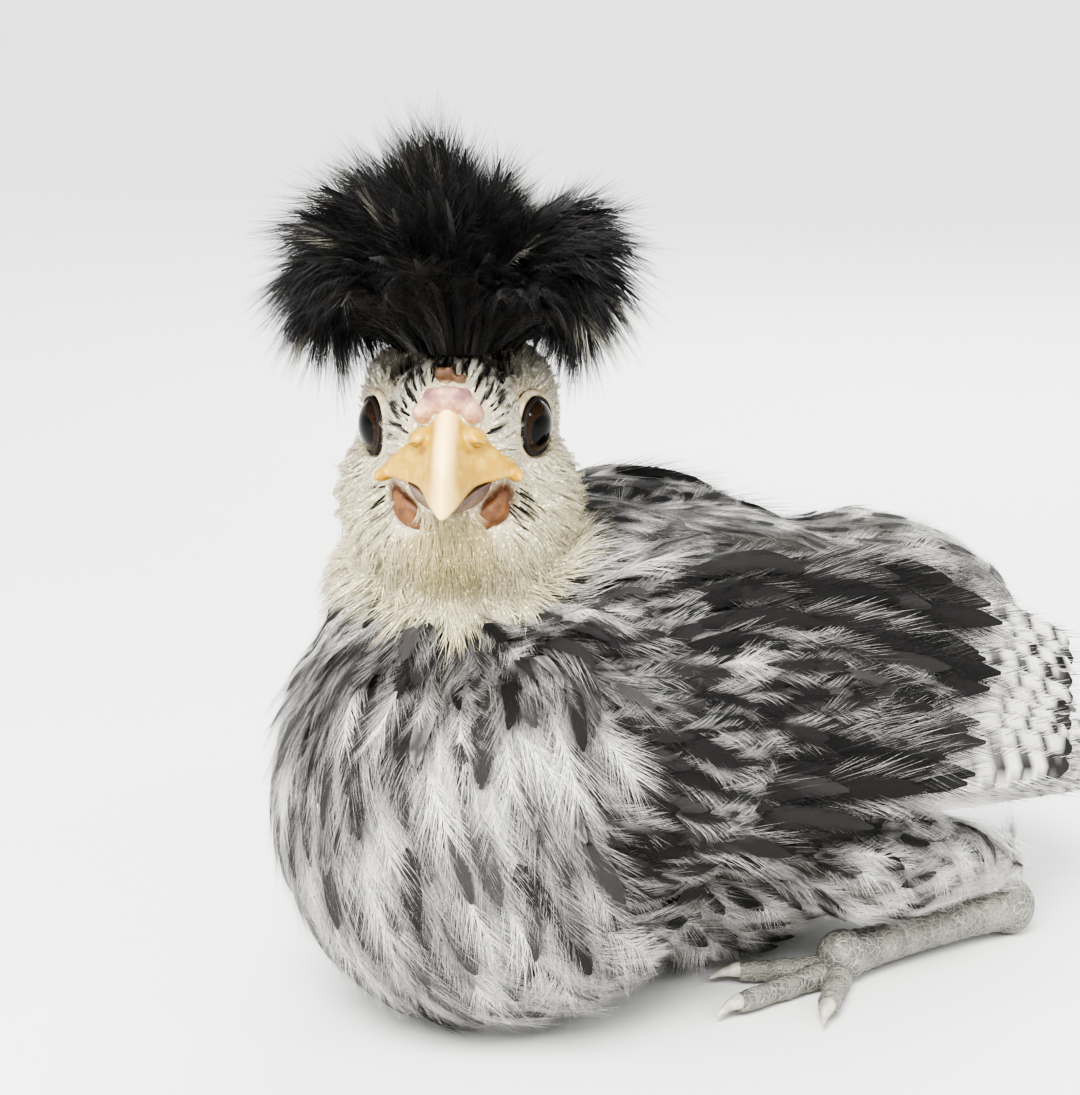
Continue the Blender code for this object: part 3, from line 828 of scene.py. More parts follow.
@dataclass
class Skin:
    """The chick's one skin, and the questions that its feathers ask of it.

    The coat is thin on the face and deeper on the body, and the skin lies inside the flesh by its depth.
    """

    swell: float = 0.0004
    grain: float = 0.0013
    face_depth: float = 0.0009
    more_depth: float = 0.002

    def __post_init__(self) -> None:
        """Builds the skin from the flesh nodes and prepares its look-up tables."""
        self.obj = self._form()
        self._shrink()
        self._unwrap()
        mesh = self.obj.data
        mesh.calc_loop_triangles()
        self.points = read(mesh.vertices, "co")
        self.faces = read(mesh.loop_triangles, "vertices", 3, int)
        self.uv = read(mesh.uv_layers["OFBake"].data, "uv", 2)[read(mesh.loop_triangles, "loops", 3, int)]
        corner = self.points[self.faces]
        cross = np.cross(corner[:, 1] - corner[:, 0], corner[:, 2] - corner[:, 0])
        self.area = np.linalg.norm(cross, axis=1) / 2
        self.normal = unit(cross)
        self.tree = BVHTree.FromPolygons(self.points.tolist(), self.faces.tolist())

    def _form(self) -> Object:
        """Joins copies of the flesh nodes and the wings' lobes into one closed surface.

        Returns:
            The surface, as far out as the flesh nodes.
        """
        pieces = []
        for name in FLESH:
            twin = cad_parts[name].copy()
            twin.data = twin.data.copy()
            bpy.context.scene.collection.objects.link(twin)
            twin.parent = None
            pieces.append(twin)
        for side in (1, -1):
            for lobe in WING_LOBES:
                centre = Vector((side * lobe.centre[0], lobe.centre[1], lobe.centre[2] + WING_LIFT[side]))
                pieces.append(Hand.ball(centre + SHIFT, lobe.radii, fine=48))
        for centre, radii in HEAD_FILL:
            pieces.append(Hand.ball(HEAD @ Vector(centre), radii, HEAD.to_euler(), 40))
        for piece in pieces:
            build = bmesh.new()
            build.from_mesh(piece.data)
            bmesh.ops.remove_doubles(build, verts=build.verts, dist=1e-6)
            build.normal_update()
            for vert, normal in [(v, v.normal.copy()) for v in build.verts]:
                vert.co += normal * self.swell
            build.to_mesh(piece.data)
            build.free()
        skin = Hand.joined(pieces)
        Hand.modify(skin, "REMESH", mode="VOXEL", voxel_size=self.grain)
        return Hand.modify(skin, "SMOOTH", factor=0.5, iterations=6)

    def _shrink(self) -> None:
        """Draws the skin in by the coat's depth: little on the face, more on the body."""
        mesh = self.obj.data
        points, normals = read(mesh.vertices, "co"), read(mesh.vertices, "normal")
        far = apart(placed(points, HEAD_BACK), (0, 0.002, -0.004))
        depth = self.face_depth + self.more_depth * smooth(far, 0.018, 0.034)
        points -= normals * depth[:, None]
        mesh.vertices.foreach_set("co", points.ravel())
        mesh.update()

    def _unwrap(self) -> None:
        """Unwraps the skin by its own shape."""
        Hand.pick(self.obj)
        while self.obj.data.uv_layers:
            self.obj.data.uv_layers.remove(self.obj.data.uv_layers[0])
        self.obj.data.uv_layers.new(name="OFBake")
        bpy.ops.object.mode_set(mode="EDIT")
        bpy.ops.mesh.select_all(action="SELECT")
        bpy.ops.uv.smart_project(angle_limit=math.radians(66), island_margin=0.004)
        bpy.ops.object.mode_set(mode="OBJECT")

    def touch(self, point: Vector) -> tuple[Vector, Vector, int]:
        """The skin's nearest point, its outward direction there and its face."""
        return self.tree.find_nearest(point)[:3]

    def map_at(self, points: Array) -> Array:
        """Places on the unwrap of the skin's points nearest to these.

        Args:
            points: N by 3 points.

        Returns:
            N by 2 places.
        """
        made = np.empty((len(points), 2))
        for row, point in enumerate(points):
            found, _, index = self.touch(Vector(point))
            a, b, c = self.points[self.faces[index]]
            shares = np.linalg.lstsq(np.stack([a, b, c], 1), np.array(found), rcond=None)[0]
            made[row] = shares @ self.uv[index]
        return made

    def scatter(
        self, spacing: float, wanted: Callable[[Array, Array], Array], seed: int
    ) -> tuple[Array, Array]:
        """Places roots over part of the skin, no two nearer than spacing.

        Args:
            spacing: The least distance between roots.
            wanted: Tells from points and normals which of them may grow a feather.
            seed: Seed of the draw.

        Returns:
            The roots and the skin's outward directions there.
        """
        chance = np.random.default_rng(seed)
        tries = int(self.area.sum() / spacing**2 * 5)
        picks = chance.choice(len(self.faces), tries, p=self.area / self.area.sum())
        mix = chance.random((tries, 2))
        over = mix.sum(1) > 1
        mix[over] = 1 - mix[over]
        a, b, c = (self.points[self.faces[picks, k]] for k in range(3))
        points = a + (b - a) * mix[:, :1] + (c - a) * mix[:, 1:]
        normals = self.normal[picks]
        keep = wanted(points, normals)
        points, normals = points[keep], normals[keep]
        cells: dict[tuple[int, int, int], list[int]] = {}
        chosen: list[int] = []
        keys = np.floor(points / spacing).astype(int)
        for index, key in enumerate(map(tuple, keys)):
            near = (
                other
                for dx in (-1, 0, 1)
                for dy in (-1, 0, 1)
                for dz in (-1, 0, 1)
                for other in cells.get((key[0] + dx, key[1] + dy, key[2] + dz), ())
            )
            place = points[index]
            if all(((place - points[other]) ** 2).sum() > spacing**2 for other in near):
                cells.setdefault(key, []).append(index)
                chosen.append(index)
        return points[chosen], normals[chosen]


@dataclass(frozen=True)
class Blade:
    """The pattern that one kind of feather is cut from, in shares of its length and half width.

    A woven middle carries the vane and a fringe of fine barbs loosens its edge.
    """

    barbs: int
    sweep: float
    core: float
    base: float = 0.35
    tip: float = 0.55
    camber: float = 0.1
    ragged: float = 0.2
    thin: float = 0.012
    loose: float = 0.12
    stations: int = 6
    start: float = 0.04
    inner: float = 0.0
    core_end: float = 0.93
    barbs_end: float = 0.92
    seed: int = 1

    def cut(self) -> tuple[Array, Array, int, float]:
        """Cuts the pattern.

        Returns:
            Its points as (along, across, up, barb) rows, its triangles, its barb count and their sweep.
        """
        chance = np.random.default_rng(self.seed)
        rows: list[Station] = []
        faces: list[tuple[int, int, int]] = []
        if self.core:
            for station, u in enumerate(np.linspace(self.inner, self.core_end, self.stations)):
                pinch = 0.3 if u > 0.9 else 0.05 if self.inner and not station else 1.0
                half = self.core * self.profile(u) * pinch
                low = -self.camber * half
                rows += [(u, -half, low, 0), (u, 0.0, 0.0, 0), (u, half, low, 0)]
            for a in range(0, 3 * (self.stations - 1), 3):
                for b in (a, a + 1):
                    faces += [(b, b + 1, b + 4), (b, b + 4, b + 3)]
        else:
            rows += [(0.0, -0.03, 0.0, 0), (0.0, 0.03, 0.0, 0), (0.9, 0.0, 0.0, 0)]
            faces += [(0, 1, 2)]
        for barb in range(1, self.barbs + 1):
            side = 1 if barb % 2 else -1
            even = self.start + (self.barbs_end - self.start) * ((barb - 0.5) / self.barbs)
            u = even + chance.uniform(-0.5, 0.5) / self.barbs
            reach = self.profile(u) * (1 + chance.uniform(-self.ragged, self.ragged))
            run = self.sweep * (1 + chance.uniform(-0.3, 0.3)) * (1 - 0.35 * u)
            lift = chance.uniform(-0.3, 1.0) * self.loose
            root = reach * self.core * 0.7
            first = len(rows)
            for edge in (-self.thin, self.thin):
                rows.append((u + edge, side * root, -self.camber * root, barb))
            rows.append((u + run, side * reach, lift - self.camber * reach, barb))
            faces.append((first, first + 2, first + 1) if side > 0 else (first, first + 1, first + 2))
        return np.array(rows), np.array(faces), self.barbs, self.sweep

    def profile(self, u: float) -> float:
        """Gives the feather's outline.

        Args:
            u: A share of its length.

        Returns:
            Its half width there, of at most 1.
        """
        if u < 0.5:
            return self.base + (1 - self.base) * math.sin(math.pi * u)
        return self.tip + (1 - self.tip) * math.cos(math.pi * (min(u, 1.0) - 0.5))


@dataclass(frozen=True)
class Tuft:
    """The pattern of a tuft of down: a few fine hairs that fan out from one root."""

    hairs: int = 10
    fan: float = 0.85
    thin: float = 0.062
    seed: int = 3

    def cut(self) -> tuple[Array, Array, int, float]:
        """Cuts the pattern.

        Returns:
            Its points as (along, across, up, hair) rows, its triangles, its hair count and no sweep.
        """
        chance = np.random.default_rng(self.seed)
        rows: list[Station] = []
        faces: list[tuple[int, int, int]] = []
        for hair in range(self.hairs):
            aim = self.fan * (hair / (self.hairs - 1) * 2 - 1) * chance.uniform(0.7, 1.2)
            long = chance.uniform(0.65, 1.05)
            lift = chance.uniform(0.0, 0.6)
            first = len(rows)
            for u, v, w, thin in ((0.0, aim * 0.2, 0.0, 1.0), (0.5 * long, aim * 0.55, lift * 0.4, 0.8)):
                half = self.thin * thin
                rows += [(u, v - half, w, hair), (u, v + half, w, hair)]
            rows.append((long, aim, lift * 0.8, hair))
            for a, b, c in ((0, 1, 3), (0, 3, 2), (2, 3, 4)):
                faces.append((first + a, first + b, first + c))
        return np.array(rows), np.array(faces), self.hairs, 0.0


def several(pattern: Blade | Tuft, seed: int, number: int) -> tuple[Blade | Tuft, ...]:
    """Patterns of one kind that differ by chance, with seeds that count up from the first."""
    return tuple(replace(pattern, seed=seed + k) for k in range(number))


class Marking(IntEnum):
    """How the black of a feather is laid out."""

    PLAIN = 0
    SPANGLE = 1
    SOLID = 2
    BARRED = 3
    TIPPED = 4


@dataclass
class Feathers:
    """A batch of feathers: their shafts, the way they face, and their markings."""

    line: Array
    facing: Array
    width: Array
    marking: Array
    strength: Array
    pale: Array
    black: Array
    phase: Array
    shadow: float = 0.0

    def __len__(self) -> int:
        """Number of feathers."""
        return len(self.line)

    def part(self, keep: Array) -> "Feathers":
        """Some of the feathers."""
        chosen = (getattr(self, name)[keep] for name in self.__dataclass_fields__ if name != "shadow")
        return Feathers(*chosen, self.shadow)

    def length(self) -> Array:
        """Length of each shaft."""
        return np.linalg.norm(np.diff(self.line, axis=1), axis=2).sum(1)


def inks(chance: Chance, count: int) -> tuple[Array, Array]:
    """Draws one white and one black, each with a slight tint, for each of count feathers."""
    pale = chance.uniform(0.84, 0.93, (count, 1)) * WHITE
    return pale, chance.uniform(0.006, 0.018, (count, 1)) * np.array([1.0, 0.96, 0.96])


@dataclass
class Tailor:
    """Turns batches of feathers into joined meshes, each of fewer triangles than most."""

    skin: Skin
    material: Material
    most: int = 190000
    barb: float = 0.00048
    bar: float = 0.0076
    lowest: float = 0.0002
    map_size: float = 0.003
    total: int = 0

    def sew(
        self, name: str, slot: str, feathers: Feathers, blades: Sequence[Blade | Tuft],
        nodes: Iterable[str] = (), plain: int = 0,
    ) -> None:
        """Makes the batch into one or more pieces.

        Args:
            name: The pieces' name.
            slot: Not used.
            feathers: The batch.
            blades: Patterns to choose from.
            nodes: The CAD nodes that the first piece stands for.
            plain: How many of the patterns are for feathers without markings, or 0.
        """
        cuts = [blade.cut() for blade in blades]
        pick = np.arange(len(feathers)) % len(cuts)
        if plain:
            marked = feathers.marking != Marking.PLAIN
            pick = np.where(marked, plain + pick % (len(cuts) - plain), pick % plain)
        each = max(len(cut[1]) for cut in cuts)
        chunks = max(1, math.ceil(len(feathers) * each / self.most))
        order = np.argsort(feathers.line[:, 0, 1], kind="stable")
        for chunk, rows in enumerate(np.array_split(order, chunks)):
            laid, start = [], 0
            for index, cut in enumerate(cuts):
                mine = rows[pick[rows] == index]
                if len(mine):
                    points, faces, *rest = self._lay(feathers.part(mine), cut, index)
                    laid.append((points, faces + start, *rest))
                    start += len(points)
            label = name if chunks == 1 else f"{name}_{chunk + 1}"
            obj = self._mesh(label, *(np.concatenate(part) for part in zip(*laid)))
            place_piece(obj, label, self.material, nodes if chunk == 0 else ())
            self.total += len(obj.data.polygons)

    def _lay(self, batch: Feathers, cut: tuple, seed: int) -> tuple[Array, ...]:
        """Lays one pattern along every shaft of a batch.

        Args:
            batch: The feathers.
            cut: The pattern.
            seed: Seed of the barbs' differences.

        Returns:
            Points, triangles, colours, map places and barb counts.
        """
        rows, triangles, barbs, sweep = cut
        u, v, w = rows[:, 0], rows[:, 1], rows[:, 2]
        stations = batch.line.shape[1]
        place = np.clip(u, 0.0, 0.9999) * (stations - 1)
        low = place.astype(int)
        share = place - low
        weight = np.zeros((len(u), stations))
        weight[np.arange(len(u)), low] = 1 - share
        weight[np.arange(len(u)), low + 1] += share
        along = unit(np.gradient(batch.line, axis=1))
        across = unit(np.cross(along, batch.facing))
        up = np.cross(across, along)
        length = batch.length()
        half = batch.width[:, None, None] / 2
        over = np.maximum(u - 1.0, 0.0)
        points = np.einsum("vk,fkd->fvd", weight, batch.line)
        points += np.einsum("vk,fkd->fvd", weight, across) * v[None, :, None] * half
        points += np.einsum("vk,fkd->fvd", weight, up) * w[None, :, None] * half
        points += along[:, -1][:, None, :] * over[None, :, None] * length[:, None, None]
        points[..., 2] = np.maximum(points[..., 2], self.lowest)
        chance = np.random.default_rng(100 + seed)
        streak = chance.uniform(-1, 1, (len(batch), barbs + 1))[:, rows[:, 3].astype(int)]
        shades = self._colour(batch, u, v, streak)
        root = self.skin.map_at(batch.line[:, 0])
        spread = np.stack([np.clip(v, -1, 1) / 2, np.clip(u, 0, 1) - 0.5], 1) * self.map_size
        maps = (root[:, None, :] + spread[None]).reshape(-1, 2)
        offsets = (np.arange(len(batch)) * len(u))[:, None, None]
        faces = (triangles[None] + offsets).reshape(-1, 3)
        comb = (u - sweep * np.abs(v))[None, :] * (length / self.barb)[:, None] * (sweep > 0)
        return points.reshape(-1, 3), faces, shades.reshape(-1, 3), maps, comb.ravel()

    def _colour(self, batch: Feathers, u: Array, v: Array, streak: Array) -> Array:
        """Colours of the batch's points.

        Args:
            batch: The feathers.
            u: Shares of the length.
            v: Shares of the half width.
            streak: A number from -1 to 1 for each point, the same along a barb.

        Returns:
            Feathers by points by 3 colours.
        """
        along = np.clip(u[None, :] + 0.07 * streak, 0, 1.1)
        side = np.abs(v)[None, :] + 0.2 * streak
        phase = batch.phase[:, None]
        edge = smooth(side, 0.55, 0.95)
        start = 0.14 + 0.1 * phase
        spangle = smooth(along, start, start + 0.1) * (1 - 0.9 * smooth(side, 0.4, 0.75))
        spangle = spangle * (1 - smooth(along, 0.85, 0.97) * smooth(side, 0.15, 0.35))
        solid = 1 - smooth(phase, 0.25, 0.75) * edge * smooth(along, 0.25, 0.7)
        bars = along * batch.length()[:, None] / self.bar
        wave = np.sin((bars + phase + 0.12 * streak + 0.35 * side) * 2 * math.pi)
        barred = smooth(wave, 0.25, 0.6) * smooth(along, 0.42, 0.62) * (1 - 0.3 * edge)
        barred = np.clip(barred + smooth(along, 0.88, 0.93), 0, 1)
        tipped = 1 - smooth(along, 0.84 + 0.1 * phase, 0.92 + 0.1 * phase)
        mask = np.zeros_like(along)
        for kind, black in (
            (Marking.SPANGLE, spangle), (Marking.SOLID, solid),
            (Marking.BARRED, barred), (Marking.TIPPED, tipped),
        ):
            mask = np.where(batch.marking[:, None] == kind, black, mask)
        mask = np.clip(mask * batch.strength[:, None] * (1.1 + 0.06 * streak), 0, 1)[..., None]
        shown = np.maximum(streak, 0)[..., None]
        root_shadow = batch.shadow * (1 - smooth(along, 0.15, 0.6))[..., None]
        light = 1.0 - (0.07 + 0.3 * batch.shadow) * shown - root_shadow
        dark = batch.black[:, None, :] * (1.0 + 1.6 * shown)
        return batch.pale[:, None, :] * light * (1 - mask) + dark * mask

    @staticmethod
    def _mesh(name: str, points: Array, faces: Array, shades: Array, maps: Array, combs: Array) -> Object:
        """Makes a mesh object from arrays.

        Args:
            name: The mesh's name.
            points: Its points.
            faces: Its triangles.
            shades: A colour for each point.
            maps: A place on the bake map for each point.
            combs: A barb count for each point.

        Returns:
            The object.
        """
        mesh = bpy.data.meshes.new(name)
        mesh.vertices.add(len(points))
        mesh.vertices.foreach_set("co", points.ravel())
        mesh.loops.add(len(faces) * 3)
        mesh.loops.foreach_set("vertex_index", faces.ravel())
        mesh.polygons.add(len(faces))
        mesh.polygons.foreach_set("loop_start", np.arange(0, len(faces) * 3, 3))
        mesh.update(calc_edges=True)
        shade_points(mesh, shades)
        mesh.attributes.new("barb", "FLOAT", "POINT").data.foreach_set("value", combs)
        mesh.uv_layers.new(name="OFBake").data.foreach_set("uv", maps[faces.ravel()].ravel())
        mesh.polygons.foreach_set("use_smooth", np.ones(len(faces), bool))
        obj = bpy.data.objects.new(name, mesh)
        bpy.context.scene.collection.objects.link(obj)
        return obj


@dataclass(frozen=True)
class Tract:
    """One tract of the coat: spacing, length, width and lie of its feathers, their markings and patterns.

    The first of the patterns, as many as plain says, are for feathers without markings.
    """

    name: str
    region: Region
    spacing: float
    length: Pair
    slim: float
    lift: float
    stiff: float
    marked: float
    solid: float
    blades: tuple[Blade | Tuft, ...]
    plain: int = 0


@dataclass
class Coat:
    """The small feathers and the down, tract by tract, over the whole skin."""

    skin: Skin
    tailor: Tailor
    stations: int = 5
    stray: float = 0.16

    @staticmethod
    def tracts() -> tuple[Tract, ...]:
        """Lists the tracts in the order in which they are sewn.

        Returns:
            The tracts.
        """
        loose = several(Blade(180, 0.52, 0.0, base=0.5, tip=0.25, ragged=0.5, thin=0.0042, loose=0.35), 0, 4)
        spot = Blade(
            150, 0.5, 0.4, tip=0.3, stations=8, thin=0.0044, start=0.08, inner=0.36, loose=0.28, ragged=0.4
        )
        body = (*loose, *several(spot, 10, 3))
        small = Blade(116, 0.4, 0.46, tip=0.32, thin=0.006, start=0.15, inner=0.2, ragged=0.3)
        small = several(small, 20, 3)
        small = (loose[0], *small, *small[:2])
        down = several(Tuft(), 30, 4)
        rows = (
            ("face_down", Region.FACE, 0.0007, (0.0046, 0.0064), 0.38, 0.19, 0.18, 0.0, 0.0, down, 0),
            ("neck_feathers", Region.NECK, 0.0021, (0.012, 0.0165), 0.4, 0.34, 0.26, 0.62, 0.08, body, 4),
            ("breast_feathers", Region.BREAST, 0.00245, (0.0155, 0.021), 0.4, 0.16, 0.18, 0.6, 0.1, body, 4),
            ("back_feathers", Region.BACK, 0.0027, (0.013, 0.017), 0.44, 0.09, 0.2, 0.46, 0.06, body, 4),
            ("belly_down", Region.BELLY, 0.0034, (0.01, 0.013), 0.5, 0.05, 0.05, 0.15, 0.0, body, 4),
            ("rump_feathers", Region.RUMP, 0.0028, (0.016, 0.022), 0.42, 0.1, 0.35, 0.5, 0.05, body, 4),
            ("thigh_down", Region.THIGH, 0.0027, (0.009, 0.013), 0.46, 0.1, 0.15, 0.35, 0.05, body, 4),
            ("wing_coverts", Region.WING, 0.0022, (0.0095, 0.014), 0.5, 0.09, 0.3, 0.66, 0.2, small, 1),
        )
        return tuple(Tract(*row) for row in rows)

    def dress(self) -> None:
        """Grows and sews every tract."""
        for index, tract in enumerate(self.tracts()):
            on_face = tract.region is Region.FACE
            feathers = self.grow(tract, 1000 + 10 * index, self._feathered if on_face else None)
            slot = "face_down" if on_face else "plumage"
            self.tailor.sew(tract.name, slot, feathers, tract.blades, plain=tract.plain)

    @staticmethod
    def _feathered(points: Array) -> Array:
        """Tells where the face grows down: not round the eyes, the beak, the comb and the wattles.

        Args:
            points: N by 3 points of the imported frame.

        Returns:
            N times true or false.
        """
        near = mirrored(placed(points, HEAD_BACK))
        aside, back, up = near.T
        reach = 0.0052 + 0.004 * smooth(-up, 0.0, 0.0035)
        keep = ~((back < -0.008) & (aside < reach) & (up > -0.009) & (up < 0.005))
        for place, radius in (
            (EYE_CENTRE, 0.0059), ((0.0058, -0.011, -0.0106), 0.0027),
            ((0.009, -0.0106, -0.0046), 0.0021), ((0, -0.0118, 0.0058), 0.0042),
        ):
            keep &= apart(near, place) > radius
        return keep

    @staticmethod
    def _face_flow(head: Array) -> Array:
        """The lie of the face's down: away from the beak and round the eyes.

        Args:
            head: Roots in head coordinates.

        Returns:
            One direction for each root, in head coordinates.
        """
        away = head - (0.0, -0.015, -0.001)
        away[:, 2] -= 0.01 * smooth(head[:, 1], -0.006, 0.012)
        away[:, 2] -= 0.006 * smooth(-head[:, 2], 0.004, 0.014)
        away = unit(away)
        for side in (1, -1):
            offset = head - np.array(EYE_CENTRE) * (side, 1, 1)
            near = 1 - smooth(apart(offset), 0.006, 0.01)
            away = away + unit(offset) * (1.6 * near)[:, None]
        return unit(away)

    def flow(self, points: Array, region: Region) -> Array:
        """The lie of the coat.

        Args:
            points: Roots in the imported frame.
            region: Their tract.

        Returns:
            One direction for each root, not yet laid on the surface.
        """
        own = points - np.array(SHIFT)
        head = placed(points, HEAD_BACK)
        turn = np.array(HEAD.to_3x3()).T
        if region is Region.FACE:
            return self._face_flow(head) @ turn
        if region is Region.WING:
            middle = np.stack([own[:, 0] * 0.9, np.full(len(own), -0.06), own[:, 2] * 0.75 + 0.018], 1)
            return unit(own - middle)
        if region is Region.THIGH:
            return np.tile(unit(np.array([0.0, 1.0, -0.35])), (len(own), 1))
        if region is Region.RUMP:
            return unit(np.array([0.0, 0.78, -0.5]) + own * (6.0, 0, 0))
        away = unit(own - (0.0085, -0.04, 0.076)) + (0.0, 0.25, -0.1)
        away[:, 1] += 0.9 * (1 - smooth(own[:, 2], 0.012, 0.032))
        down = unit(head * (12.0, 0.0, 0.0) + (0.0, 0.35, -1.0)) @ turn
        behind = nape(points)[:, None]
        return unit(unit(away) * (1 - behind) + down * behind)

    def grow(self, tract: Tract, seed: int, wanted: Callable[[Array], Array] | None = None) -> Feathers:
        """Grows the feathers of a tract.

        Args:
            tract: The tract.
            seed: Seed of all draws.
            wanted: Leaves out roots where it is false.

        Returns:
            The feathers.
        """
        index = TRACTS.index(tract.region)
        on_face = tract.region is Region.FACE

        def mine(points: Array, normals: Array) -> Array:
            """True for roots of this tract."""
            keep = tract_of(points, normals) == index
            return keep & wanted(points) if wanted else keep

        roots, normals = self.skin.scatter(tract.spacing, mine, seed)
        chance = np.random.default_rng(seed + 1)
        count = len(roots)
        length = chance.uniform(*tract.length, count) * (1 - 0.4 * nape(roots))
        loft = tract.lift * chance.uniform(0.6, 1.4, count) * (1 - 0.85 * nape(roots))
        stiff, slim = np.full(count, tract.stiff), np.full(count, tract.slim)
        if on_face:
            self._face_lie(placed(roots, HEAD_BACK), length, loft, stiff, slim, chance)
        heading = unit(self.flow(roots, tract.region) + chance.normal(0, self.stray, (count, 3)))
        shafts = [self._drape(*each) for each in zip(roots, normals, heading, length, loft, stiff)]
        lines, facing = (np.array(part, float) for part in zip(*shafts))
        if on_face:
            lines[:, 1:] += facing[:, 1:] * 0.00022
        twist = chance.normal(0, 0.12 if on_face else 0.22, count)
        side = np.cross(unit(np.gradient(lines, axis=1)), facing)
        facing = unit(facing + side * twist[:, None, None])
        return self._marked(lines, facing, length * slim, tract, chance)

    @staticmethod
    def _face_lie(head: Array, length: Array, loft: Array, stiff: Array, slim: Array, chance: Chance) -> None:
        """Makes the face's down short at the beak, raised on brows and jaw, and bristly on the cheeks.

        Args:
            head: Roots in head coordinates.
            length: Lengths, changed in place like the next three.
            loft: Shares of the length by which the down rises.
            stiff: Shares by which it leaves the skin's curve.
            slim: Shares of the length that give its width.
            chance: Source of the draws.
        """
        aside, back, up = mirrored(head).T
        from_beak = apart(head, (0, -0.016, 0.0))
        from_eye = apart(mirrored(head), EYE_CENTRE)
        front = 1 - smooth(back, -0.004, 0.002)
        fore = smooth(up, 0.004, 0.0085) * (1 - smooth(aside, 0.0085, 0.0115)) * front
        jaw = smooth(-up, 0.006, 0.012) * (1 - smooth(-up, 0.02, 0.027)) * smooth(aside, 0.006, 0.012)
        brow = smooth(up, 0.003, 0.007) * smooth(aside, 0.0085, 0.011) * front
        stand = (chance.random(len(head)) < 0.34) * smooth(aside, 0.0095, 0.013) * (1 - fore)
        length *= 0.62 + 0.58 * smooth(from_beak, 0.006, 0.03)
        length *= 1 + 0.35 * smooth(-up, 0.012, 0.02)
        length *= 0.5 + 0.5 * smooth(from_eye, 0.006, 0.009)
        length *= 1 + 0.6 * fore + 0.35 * jaw + 0.15 * brow
        length *= 1 + 0.35 * smooth(-up, 0.008, 0.013) * (1 - jaw)
        loft *= 0.6 + 0.4 * smooth(from_beak, 0.01, 0.022)
        loft += 0.3 * jaw + 0.42 * brow
        loft += 0.2 * stand
        stiff += 0.6 * fore + 0.3 * brow
        stiff += 0.25 * stand
        slim -= 0.22 * fore
        slim -= 0.2 * stand

    def _drape(
        self, root: Array, normal: Array, heading: Array, length: float, loft: float, stiff: float
    ) -> tuple[list[Vector], list[Vector]]:
        """Lays one shaft over the skin, station by station.

        Args:
            root: Where it starts.
            normal: The skin's outward direction there.
            heading: Where it points.
            length: Its length.
            loft: Share of the length by which its tip rises off the skin.
            stiff: 0 where it follows the skin's curve and 1 where it stays straight.

        Returns:
            Its stations and the way that it faces at each.
        """
        point, up, ahead = Vector(root), Vector(normal), Vector(heading)
        ahead = (ahead - up * ahead.dot(up)).normalized()
        step = length / (self.stations - 1)
        line, facing = [point], [up]
        for station in range(1, self.stations):
            guess = point + ahead * step
            found, normal_there, _ = self.skin.touch(guess)
            spot = found.lerp(guess, stiff)
            ahead = (spot - point).normalized()
            up = up.lerp(normal_there, 1 - stiff * 0.6).normalized()
            point = spot
            share = station / (self.stations - 1)
            line.append(point + up * (loft * length * (share**0.7) * (1.15 - 0.35 * share)))
            facing.append(up)
        return line, facing

    @staticmethod
    def _marked(lines: Array, facing: Array, width: Array, tract: Tract, chance: Chance) -> Feathers:
        """Gives the feathers their markings and colours.

        Args:
            lines: Their shafts.
            facing: The ways that they face.
            width: Their widths.
            tract: Their tract.
            chance: Source of the draws.

        Returns:
            The feathers.
        """
        count = len(lines)
        region = tract.region
        dark = darkness(lines[:, 0])
        draw = chance.random(count)
        marking = np.full(count, Marking.PLAIN)
        marking[draw < tract.marked + 0.5 * dark] = Marking.SPANGLE
        marking[dark + tract.solid > chance.uniform(0.25, 1.0, count)] = Marking.SOLID
        strength = chance.uniform(0.93, 1.0, count)
        pale = chance.uniform(0.84, 0.97, (count, 1)) * WHITE
        if region in (Region.BREAST, Region.BACK):
            upper = draw < 0.075
            lines[:, 1:] += facing[:, 1:] * np.where(upper, 0.0009, 0.0)[:, None, None]
            width = width * np.where(upper, 1.12, 1.0)
        if region in (Region.BACK, Region.NECK):
            pale = pale * 0.9
        if region is Region.FACE:
            marking, slim, pale = Coat._face_marks(placed(lines[:, 0], HEAD_BACK), draw, chance)
            width = width * slim
        most = {Region.FACE: 0.05, Region.BREAST: 0.055, Region.NECK: 0.04}.get(region, 0.022)
        black = chance.uniform(0.007, most, (count, 1)) * np.array([1.0, 0.95, 0.95])
        shadow = 0.12 if region is Region.FACE else 0.84
        return Feathers(lines, facing, width, marking, strength, pale, black, chance.random(count), shadow)

